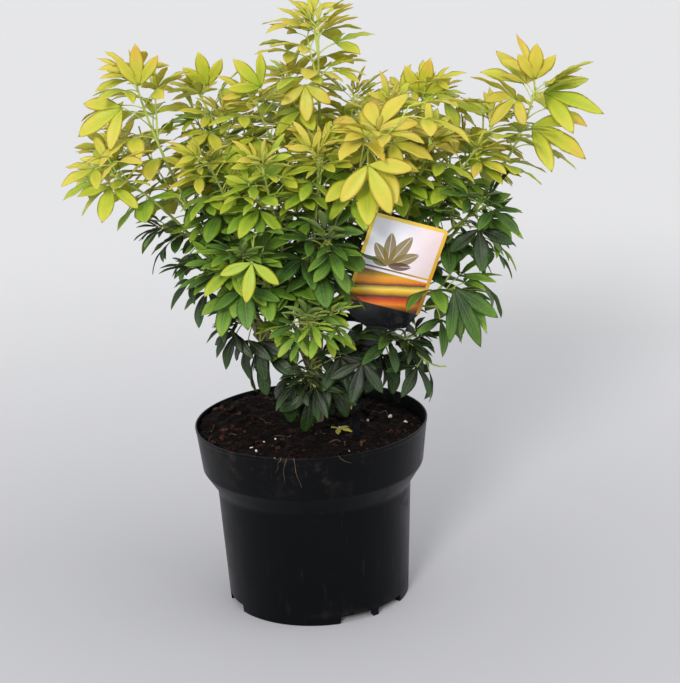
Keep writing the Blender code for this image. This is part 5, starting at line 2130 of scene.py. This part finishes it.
@dataclass
class NurseryPot:
    """The round pot with its collar, foot notches and drain holes."""

    material: Material
    wall: float = 1.5 * MM
    height: float = 180.5 * MM
    rim: float = 113.5 * MM
    collar_bottom: float = 136.4 * MM
    collar: float = 108.0 * MM
    body_top: float = 116.8 * MM
    body: float = 95.0 * MM
    base: float = 89.0 * MM
    foot_width: float = 6.5 * MM
    foot_height: float = 8.5 * MM
    pad: float = 45.2 * MM
    draft: float = 0.8 * MM
    sides: int = 144
    notches: tuple = (23.5, 50.5)
    notch_angle: float = 23.0
    notch_height: float = 7.5 * MM
    holes: int = 6
    hole_radius: float = 4.5 * MM
    hole_circle: float = 66.0 * MM

    def inner(self, height: float) -> float:
        """Radius of the inner wall at a height."""
        heights = (0, self.body_top, self.collar_bottom, self.height)
        radii = (self.base, self.body, self.collar, self.rim)
        return float(np.interp(height, heights, radii)) - self.wall

    def profile(self) -> list[tuple[float, float]]:
        """The pot's section, from the axis inside to the axis below."""
        floor = self.foot_height + self.wall
        foot_inner = self.base - self.foot_width
        small, lip = 0.4 * MM, 0.65 * MM
        return rounded([
            (0, self.wall, 0),
            (self.pad - self.wall, self.wall, small),
            (self.pad + self.draft - self.wall, floor, small),
            (self.inner(floor), floor, 2 * MM),
            (self.inner(self.body_top), self.body_top, 3 * MM),
            (self.inner(self.collar_bottom), self.collar_bottom, 3 * MM),
            (self.inner(self.height), self.height, lip),
            (self.rim, self.height, lip),
            (self.rim - 0.35 * MM, self.height - 3.4 * MM, small),
            (self.rim - 0.75 * MM, self.height - 4.0 * MM, small),
            (self.collar + 0.2 * MM, self.collar_bottom + 1.0 * MM, 1.6 * MM),
            (self.body, self.body_top, 4 * MM),
            (self.base, 0, 1.0 * MM),
            (foot_inner, 0, small),
            (foot_inner, self.foot_height, small),
            (self.pad + self.draft, self.foot_height, small),
            (self.pad, 0, small),
            (0, 0, 0),
        ])

    def cutters(self) -> list[Object]:
        """The notches of the foot ring and the drain holes."""
        made = []
        chord = 2 * self.base * math.sin(math.radians(self.notch_angle / 2))
        for azimuth in (a + 120 * third for third in range(3) for a in self.notches):
            bm = bmesh.new()
            bmesh.ops.create_cube(bm, size=1.0)
            size = (chord, 4 * self.foot_width, 2 * self.notch_height)
            bmesh.ops.scale(bm, vec=size, verts=bm.verts)
            bmesh.ops.bevel(bm, geom=bm.edges[:], offset=0.8 * MM, segments=3, affect="EDGES")
            turn = Matrix.Rotation(math.radians(azimuth), 4, "Z")
            made.append(self.cutter(bm, turn @ Matrix.Translation((0, -self.base, 0))))
        radius, circle = self.hole_radius, self.hole_circle
        for i in range(self.holes):
            turn = math.tau * (i + 0.5) / self.holes
            bm = bmesh.new()
            bmesh.ops.create_cone(
                bm, cap_ends=True, segments=28, radius1=radius, radius2=radius, depth=4 * MM
            )
            at = (circle * math.sin(turn), -circle * math.cos(turn), self.foot_height + self.wall / 2)
            made.append(self.cutter(bm, Matrix.Translation(at)))
        return made

    @staticmethod
    def cutter(bm: bmesh.types.BMesh, matrix: Matrix) -> Object:
        """An object from a closed form at a place.

        Args:
            bm: The form, which is used up.
            matrix: The place.

        Returns:
            The object.
        """
        mesh = bpy.data.meshes.new("cutter")
        bm.to_mesh(mesh)
        bm.free()
        obj = placed("cutter", mesh)
        obj.matrix_world = matrix
        return obj

    def build(self) -> Object:
        """Builds the pot.

        Returns:
            The piece.
        """
        piece = turned("nursery_pot", self.profile(), self.sides)
        cutters = self.cutters()
        for cutter in cutters:
            cut = piece.modifiers.new("cut", "BOOLEAN")
            cut.object = cutter
            cut.solver = "EXACT"
        apply_modifiers(piece)
        for cutter in cutters:
            bpy.data.objects.remove(cutter, do_unlink=True)
        coat(piece.data, self.material, crease=50)
        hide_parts("pot")
        return piece


# Soil


@dataclass
class PottingMix:
    """The soil with its bark chips, crumbs, perlite and fibres."""

    earth: Material
    chips: Material
    perlite: Material
    fibre: Material
    pot: NurseryPot
    rings: int = 60
    sides: int = 180
    lump: float = 1.6 * MM
    fall: float = 0.030
    mound_at: tuple = (-62, 52)
    mound_spread: float = 36
    mound_height: float = 8.0 * MM
    strewn_radius: float = 110.0 * MM
    trunk_clear: float = 7.5 * MM
    fibre_count: int = 24
    fibre_start: float = 100.0 * MM
    fibre_reach: float = 108.0 * MM
    hanging: tuple = ((-25, 22, -3), (-18, 27, 4), (-30, 12, -5), (24, 7, 9))

    def height(self, x: float, y: float) -> float:
        """Height of the soil's surface, as in the part.

        Args:
            x: To the right.
            y: To the back.

        Returns:
            The height.
        """
        px, py = x / MM, y / MM
        away = math.hypot(px - self.mound_at[0], py - self.mound_at[1]) / self.mound_spread
        mound = self.mound_height * math.exp(-(away**2) / 2)
        lumps = (
            math.sin(0.21 * px + 1.3) * math.cos(0.17 * py - 0.4)
            + 0.6 * math.sin(0.37 * px - 0.31 * py)
            + 0.5 * math.cos(0.43 * py + 0.11 * px + 2.0)
        )
        return SOIL_TOP + mound - self.fall * x + self.lump * lumps

    def crumbly(self, x: float, y: float) -> float:
        """Height of the surface with its fine crumbs."""
        spot = Vector((x, y, 0)) / MM
        fine = noise.fractal(spot * 0.16, 0.8, 2.1, 4) * 1.5 * MM
        return self.height(x, y) + fine

    def ground(self) -> Object:
        """The body of the soil."""
        pot, edge = self.pot, 2 * GAP
        floor = pot.foot_height + pot.wall + GAP
        wall = pot.inner(SOIL_TOP) - edge
        profile = [(wall * i / self.rings, SOIL_TOP) for i in range(self.rings + 1)]
        heights = (SOIL_TOP - 6 * MM, pot.collar_bottom, pot.body_top, floor)
        profile += [(pot.inner(height) - edge, height) for height in heights]
        profile += [(pot.pad, floor), (pot.pad - pot.wall - edge, pot.wall + GAP), (0, pot.wall + GAP)]
        piece = turned("soil_body", profile, self.sides)
        for vertex in piece.data.vertices:
            if abs(vertex.co.z - SOIL_TOP) < 0.01 * MM:
                height = self.crumbly(vertex.co.x, vertex.co.y)
                radius = math.hypot(vertex.co.x, vertex.co.y)
                if radius > wall - 0.1 * MM:
                    height = min(height, self.height(vertex.co.x, vertex.co.y))
                    share = (pot.inner(height) - edge) / radius
                    vertex.co.x, vertex.co.y = vertex.co.x * share, vertex.co.y * share
                vertex.co.z = height
        mark = piece.data.attributes.new("draw", "FLOAT", "POINT")
        mark.data.foreach_set("value", np.full(len(piece.data.vertices), 0.30, np.float32))
        coat(piece.data, self.earth)
        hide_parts("soil")
        return piece

    def lumps(self, name: str, material: Material, draw: random.Random, count: int,
              sizes: tuple[float, float], flat: tuple[float, float], shade: Callable) -> Object:
        """Strews irregular lumps over the soil.

        Args:
            name: The piece's name.
            material: Its material.
            draw: The source of its draws.
            count: How many lumps.
            sizes: Least and greatest length.
            flat: Least and greatest flatness, from 0 to 1.
            shade: Gives each lump's drawn number.

        Returns:
            The piece.
        """
        parts = MeshParts()
        bm = bmesh.new()
        bmesh.ops.create_icosphere(bm, subdivisions=1 if sizes[1] < 3 * MM else 2, radius=1.0)
        ball = np.array([v.co[:] for v in bm.verts])
        faces = np.array([[v.index for v in f.verts] for f in bm.faces])
        bm.free()
        grid = math.ceil(math.sqrt(count))
        placed = 0
        while placed < count:
            radius = self.strewn_radius * math.sqrt(draw.random())
            turn = draw.uniform(0, math.tau)
            x, y = radius * math.cos(turn), radius * math.sin(turn)
            length = draw.uniform(*sizes) * draw.uniform(0.6, 1.0)
            if radius + length * 0.55 > self.pot.inner(SOIL_TOP) - 1.0 * MM:
                continue
            if math.hypot(x - TRUNK_FOOT.x, y - TRUNK_FOOT.y) < self.trunk_clear:
                continue
            thick = length * draw.uniform(*flat)
            wide = length * draw.uniform(0.45, 0.8)
            jitter = np.array([draw.uniform(0.72, 1.22) for _ in range(len(ball))])[:, None]
            boxy = np.sign(ball) * np.abs(ball) ** 0.6
            form = boxy * jitter * np.array([length, wide, max(thick, 0.5 * MM)]) * 0.5
            tilt = Matrix.Rotation(draw.gauss(0, 0.35), 3, "X") @ Matrix.Rotation(draw.gauss(0, 0.35), 3, "Y")
            spin = np.array(Matrix.Rotation(draw.uniform(0, math.tau), 3, "Z") @ tilt)
            at = np.array([x, y, self.crumbly(x, y) + thick * draw.uniform(-0.05, 0.35)])
            spots = form @ spin.T + at
            cell = ((placed % grid) / grid, (placed // grid) / grid, 1 / grid, 1 / grid)
            flat_map = ball[faces.ravel()][:, :2] * 0.5 + 0.5
            uv = cell_uv(flat_map[:, 0], flat_map[:, 1], cell)
            parts.add(spots, faces.ravel(), np.full(len(faces), 3), uv, draw=shade(draw))
            placed += 1
        piece = parts.build(name, (material,))
        piece.data.shade_flat() if sizes[1] > 3 * MM else piece.data.shade_smooth()
        return piece

    def fibres(self) -> Object:
        """Fine fibres on the soil and root hairs that hang over the front of the rim."""
        parts, tubes = MeshParts(), TubeMaker(5)
        draw = random.Random("fibres")
        paths = []
        for _ in range(self.fibre_count):
            radius, turn = self.fibre_start * math.sqrt(draw.random()), draw.uniform(0, math.tau)
            at = Vector((radius * math.cos(turn), radius * math.sin(turn), 0))
            aim, length = draw.uniform(0, math.tau), draw.uniform(8, 24) * MM
            path = []
            for step in range(7):
                aim += draw.gauss(0, 0.35)
                at = at + Vector((math.cos(aim), math.sin(aim), 0)) * length / 7
                if math.hypot(at.x, at.y) > self.fibre_reach:
                    break
                path.append(Vector((at.x, at.y, self.crumbly(at.x, at.y) + draw.uniform(0.6, 1.8) * MM)))
            if len(path) > 3:
                paths.append(path)
        for x, drop, lean in self.hanging:
            paths.append(self.over_rim(x * MM, drop * MM, lean * MM))
        for number, path in enumerate(paths):
            thick = draw.uniform(0.16, 0.30) * MM
            radii = [thick * (1 - 0.5 * i / len(path)) for i in range(len(path))]
            cell = ((number % 8) / 8, (number // 8) / 8, 1 / 8, 1 / 8)
            tubes.add(parts, path, radii, cell, 0, [0.5] * len(path), 0.5)
        piece = parts.build("root_hairs", (self.fibre,))
        return piece

    def over_rim(self, x: float, drop: float, lean: float) -> list[Vector]:
        """A root hair that comes out of the soil and hangs down the collar.

        Args:
            x: Where it crosses the rim.
            drop: How far it hangs.
            lean: How far it leans to the side.

        Returns:
            Its middle line.
        """
        rim, top = self.pot.rim, self.pot.height
        points = []
        for across, radius, height in (
            (-0.5, rim - 14 * MM, self.height(x, -0.1) + 0.5 * MM),
            (-0.3, rim - 7 * MM, SOIL_TOP + 6 * MM),
            (-0.1, rim - 1.6 * MM, top + 0.5 * MM),
            (0.0, rim - 0.2 * MM, top + 0.7 * MM),
            (0.1, rim + 0.6 * MM, top - 1.5 * MM),
        ):
            points.append(self.on_wall(x + lean * across, radius, height))
        for step in range(1, 6):
            share = step / 5
            height = top - 2 * MM - drop * share
            wall = self.pot.inner(height) + self.pot.wall + 0.45 * MM
            sway = lean * (0.2 + share) + 1.2 * MM * math.sin(5 * share + x * 900)
            points.append(self.on_wall(x + sway, wall, height))
        return points

    @staticmethod
    def on_wall(x: float, radius: float, height: float) -> Vector:
        """A place at the front at a radius and a height."""
        return Vector((x, -math.sqrt(max(radius**2 - x**2, 0.0)), height))

    def build(self) -> list[Object]:
        """Builds the soil and what lies on it.

        Returns:
            The pieces.
        """
        chips = self.lumps("bark_chips", self.chips, random.Random("chips"), 460,
                           (4 * MM, 10 * MM), (0.18, 0.4), lambda d: 0.25 + 0.6 * d.random() ** 1.3)
        crumbs = self.lumps("peat_crumbs", self.chips, random.Random("crumbs"), 1500,
                            (1.2 * MM, 2.9 * MM), (0.5, 0.9), lambda d: 0.15 + 0.55 * d.random())
        white = self.lumps("perlite_grains", self.perlite, random.Random("perlite"), 13,
                           (2.4 * MM, 4.2 * MM), (0.6, 0.9), lambda d: d.random())
        return [self.ground(), chips, crumbs, white, self.fibres()]


# Label


@dataclass
class Label:
    """The plastic plant label: a wide head on a bent stake, in one leaning sheet."""

    material: Material | None = None
    thickness: float = 0.8 * MM
    lean: float = 11.0
    top_left: tuple = (67 * MM, -69 * MM, 401 * MM)
    head_turn: float = 18.7
    width: float = 72.0 * MM
    straight: float = 88.0 * MM
    length: float = 115.0 * MM
    corner: float = 4.0 * MM
    neck: float = 16.0 * MM
    stake: float = 8.0 * MM
    tip: float = 1.2 * MM
    foot_x: float = 43.0 * MM
    bend_z: float = 186.0 * MM
    hole_floor: float = 130.0 * MM
    rounding: float = 0.15 * MM

    def matrix(self) -> Matrix:
        """Places a flat drawing, X to the right and Y up, in the label's leaning plane."""
        lean = Matrix.Rotation(math.radians(90 + self.lean), 4, "X")
        return Matrix.Translation(Vector(self.top_left)) @ lean

    def outline(self, fine: int = 1) -> list[Vector]:
        """Outline in the label's own plane, from the head's top left corner.

        Args:
            fine: How many times as fine as the part's own its arcs are.

        Returns:
            The corners, clockwise.
        """
        shoulder = self.length - self.straight
        half, neck = self.width / 2, self.neck / 2
        head = self.arc((self.corner, -self.corner), 180, 90, 3 * fine + 1)
        head += self.arc((self.width - self.corner, -self.corner), 90, 0, 3 * fine + 1)
        head.append(Vector((self.width, -self.straight)))
        inset = (half - neck) * 0.32
        drop = shoulder * math.sin(math.radians(45))
        head.append(Vector((self.width - inset, -self.straight - drop)))
        left = [Vector((self.width - p.x, p.y)) for p in reversed(head[-2:])]
        turn = Matrix.Rotation(math.radians(-self.head_turn), 2)
        neck_middle = turn @ Vector((half, -self.length))
        down = turn @ Vector((0, -1))
        scale = 1 / math.cos(math.radians(self.lean))
        x0, z0 = self.top_left[0], self.top_left[2]
        bend = Vector((self.foot_x - x0, (self.bend_z - z0) * scale))
        right_side, left_side = [], []
        handles = neck_middle + down * 30 * MM, bend + Vector((0, 1)) * 25 * MM
        for i in range(8 * fine + 1):
            t = i / (8 * fine)
            at, heading = cubic(neck_middle, *handles, bend, t)
            across = Vector((-heading.y, heading.x))
            width = neck + (self.stake / 2 - neck) * min(1, 2 * t)
            right_side.append(at + across * width)
            left_side.append(at - across * width)
        foot = Vector((bend.x, (self.hole_floor + 2 * GAP - z0) * scale))
        above = foot.y + self.stake
        point = [
            Vector((bend.x + self.stake / 2, above)),
            Vector((bend.x + self.tip / 2, foot.y)),
            Vector((bend.x - self.tip / 2, foot.y)),
            Vector((bend.x - self.stake / 2, above)),
        ]
        return [turn @ p for p in head] + right_side + point + left_side[::-1] + [turn @ p for p in left]

    def arc(self, centre: tuple[float, float], start: float, stop: float, count: int) -> list[Vector]:
        """Points of a corner's arc, with angles in degrees."""
        points = []
        for i in range(count):
            angle = math.radians(start + (stop - start) * i / (count - 1))
            points.append(Vector((centre[0] + self.corner * math.cos(angle),
                                  centre[1] + self.corner * math.sin(angle))))
        return points

    def guard(self) -> Surface:
        """The label's middle plane as a thin surface that leaves keep clear of."""
        place = self.matrix()
        verts = [place @ Vector((p.x, p.y, 0)) for p in self.outline()]
        return verts, [tuple(range(len(verts)))]

    def view_sheets(self) -> list[Surface]:
        """Sheets before the head, one behind the other, that keep it free to be read."""
        turn = self.matrix() @ Matrix.Rotation(math.radians(-self.head_turn), 4, "Z")
        left, right, low = 9 * MM, self.width - 2 * MM, -0.92 * self.length
        corners = [turn @ Vector(at) for at in ((left, 0, 0), (right, 0, 0), (right, low, 0), (left, low, 0))]
        step = (FRONT + UP * 0.30).normalized() * 9 * MM
        return [([c + step * k for c in corners], [(0, 1, 2, 3)]) for k in range(1, 12)]

    def build(self) -> Object:
        """Builds the label.

        Returns:
            The piece.
        """
        curve = bpy.data.curves.new("label", "CURVE")
        curve.dimensions = "2D"
        curve.fill_mode = "BOTH"
        curve.extrude = self.thickness / 2 - self.rounding
        curve.bevel_depth = self.rounding
        curve.bevel_resolution = 2
        curve.offset = -self.rounding
        outline = self.outline(4)
        spline = curve.splines.new("POLY")
        spline.points.add(len(outline) - 1)
        for point, end in zip(outline, spline.points):
            end.co = (point.x, point.y, 0, 1)
        spline.use_cyclic_u = True
        guide = placed("label_guide", curve)
        mesh = shaped(guide)
        bpy.data.objects.remove(guide, do_unlink=True)
        bm = bmesh.new()
        bm.from_mesh(mesh)
        bmesh.ops.remove_doubles(bm, verts=bm.verts, dist=0.002 * MM)
        bmesh.ops.recalc_face_normals(bm, faces=bm.faces)
        bm.to_mesh(mesh)
        bm.free()
        turn = Matrix.Rotation(math.radians(self.head_turn), 2)
        marks = []
        for vertex in mesh.vertices:
            flat = turn @ Vector((vertex.co.x, vertex.co.y))
            marks.append((flat.x / MM, -flat.y / MM, 0.0 if vertex.co.z > 0 else 1.0))
        mark = mesh.attributes.new("print", "FLOAT_VECTOR", "POINT")
        mark.data.foreach_set("vector", np.array(marks, np.float32).ravel())
        mesh.transform(self.matrix())
        coat(mesh, self.material, crease=35)
        piece = placed("label", mesh)
        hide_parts("plant_label")
        return piece


# Fallen leaves


@dataclass
class FallenLeaves:
    """Two small leaves that lie on the soil."""

    material: Material
    stem_material: Material
    places: tuple = (("fallen_leaf_1", (26, -8), 60, 15), ("fallen_leaf_2", (42, 62), -70, 11))

    def build(self) -> list[Object]:
        """Builds the leaves.

        Returns:
            The pieces.
        """
        pieces = []
        blades = BladeMaker(12, BladeMaker.FINE)
        for node, at, heading, length in self.places:
            low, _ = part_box(node)
            along = Matrix.Rotation(math.radians(heading), 3, "Z") @ FRONT
            hub = Vector((at[0] * MM, at[1] * MM, low.z + 1.2 * MM))
            leaf = Leaf(
                root=hub - along * length * MM * 0.5, hub=hub, along=along, normal=UP,
                length=length * MM, width=length * MM * 0.45, spread=math.radians(62),
                rise=math.radians(10), fall=math.radians(-24), age=0.6, sun=0.95, key=node,
            )
            parts = MeshParts()
            blades.add(parts, leaf, (0.0, 0.0, 1.0), 1)
            piece = parts.build(node.replace("fallen_leaf", "dropped_leaf"),
                                (self.material, self.stem_material))
            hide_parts(node)
            pieces.append(piece)
        return pieces


# Studio


@dataclass
class Studio:
    """Floor, light and camera."""

    floor_material: Material
    lens: float = 105.84
    sensor: float = 36.0
    eye: tuple = (0.0, -1.85506444, 0.8277617)
    down: float = 0.29816725
    yaw: float = 0.01704302
    roll: float = -0.0458629

    def floor(self) -> None:
        """A wide pale floor."""
        mesh = bpy.data.meshes.new("floor")
        side = 14.0
        mesh.from_pydata([(-side, -side, 0), (side, -side, 0), (side, side, 0), (-side, side, 0)], [],
                         [(0, 1, 2, 3)])
        mesh.materials.append(self.floor_material)
        obj = placed("floor", mesh)

    def lights(self) -> None:
        """A soft flash from the front and a little from the left, a fill and a pale surround."""
        world = bpy.data.worlds.new("studio")
        world.use_nodes = True
        back = world.node_tree.nodes["Background"]
        back.inputs["Color"].default_value = (0.97, 0.98, 1.0, 1)
        back.inputs["Strength"].default_value = 0.97
        bpy.context.scene.world = world
        for name, place, strength, softness in (
            ("flash", (-0.32, -1.0, 0.50), 2.15, 14.0),
            ("fill", (0.9, -0.5, 0.9), 0.6, 60.0),
        ):
            lamp = bpy.data.lights.new(name, "SUN")
            lamp.angle = math.radians(softness)
            lamp.energy = strength
            aim = (-Vector(place)).to_track_quat("-Z", "Y")
            matrix = Matrix.Translation(Vector(place) * 2) @ aim.to_matrix().to_4x4()
            placed(name, lamp).matrix_world = matrix

    def camera(self) -> None:
        """The camera at the photograph's viewpoint."""
        data = bpy.data.cameras.new("camera")
        data.lens = self.lens
        data.sensor_width = self.sensor
        ahead = Vector((math.sin(self.yaw) * math.cos(self.down),
                        math.cos(self.yaw) * math.cos(self.down), -math.sin(self.down)))
        right = ahead.cross(UP).normalized()
        over = right.cross(ahead)
        turned_right = right * math.cos(self.roll) + over * math.sin(self.roll)
        turned_up = -right * math.sin(self.roll) + over * math.cos(self.roll)
        matrix = Matrix((turned_right, turned_up, -ahead)).transposed().to_4x4()
        matrix.translation = Vector(self.eye)
        obj = placed("camera", data)
        obj.matrix_world = matrix
        bpy.context.scene.camera = obj

    def build(self) -> None:
        """Sets the studio up."""
        self.floor()
        self.lights()
        self.camera()
        bpy.context.scene.view_settings.view_transform = "Standard"
        bpy.context.scene.view_settings.look = "None"


def report(pieces: Iterable[Object]) -> None:
    """Puts pieces on the part's body and logs what each is."""
    for piece in pieces:
        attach(piece, BODY)
        piece.data.calc_loop_triangles()
        LOG.info("%s: %d triangles", piece.name, len(piece.data.loop_triangles))


def main() -> None:
    """Builds every sub-assembly in order."""
    logging.basicConfig(level=logging.INFO, format="%(message)s")
    effects = Effects()
    leaf = LeafFinish("leaf").build(effects)
    stem = StemFinish("green_stem").build(effects)
    Studio(FloorFinish("pale_floor").build(effects)).build()
    pot = NurseryPot(PotFinish("black_plastic").build(effects))
    report([pot.build()])
    soil = PottingMix(
        EarthFinish("earth").build(effects),
        EarthFinish("bark_and_peat", fineness=420.0).build(effects),
        PerliteFinish("perlite").build(effects),
        FibreFinish("fibre").build(effects),
        pot,
    )
    report(soil.build())
    report([Label(LabelFinish("printed_plastic").build(effects)).build()])
    branches = BranchRule().grow()
    report([WoodyBase(BarkFinish("bark").build(effects), branches).build()])
    rule = LeafRule()
    leaves = rule.grow(branches)
    spurs = rule.grow_spurs(branches, leaves)
    report(Foliage(leaf, stem, branches, leaves, spurs).build())
    fallen = FallenLeaves(LeafFinish("fallen_leaf", dry=0.7).build(effects), stem)
    report(fallen.build())


if __name__ == "__main__":
    main()
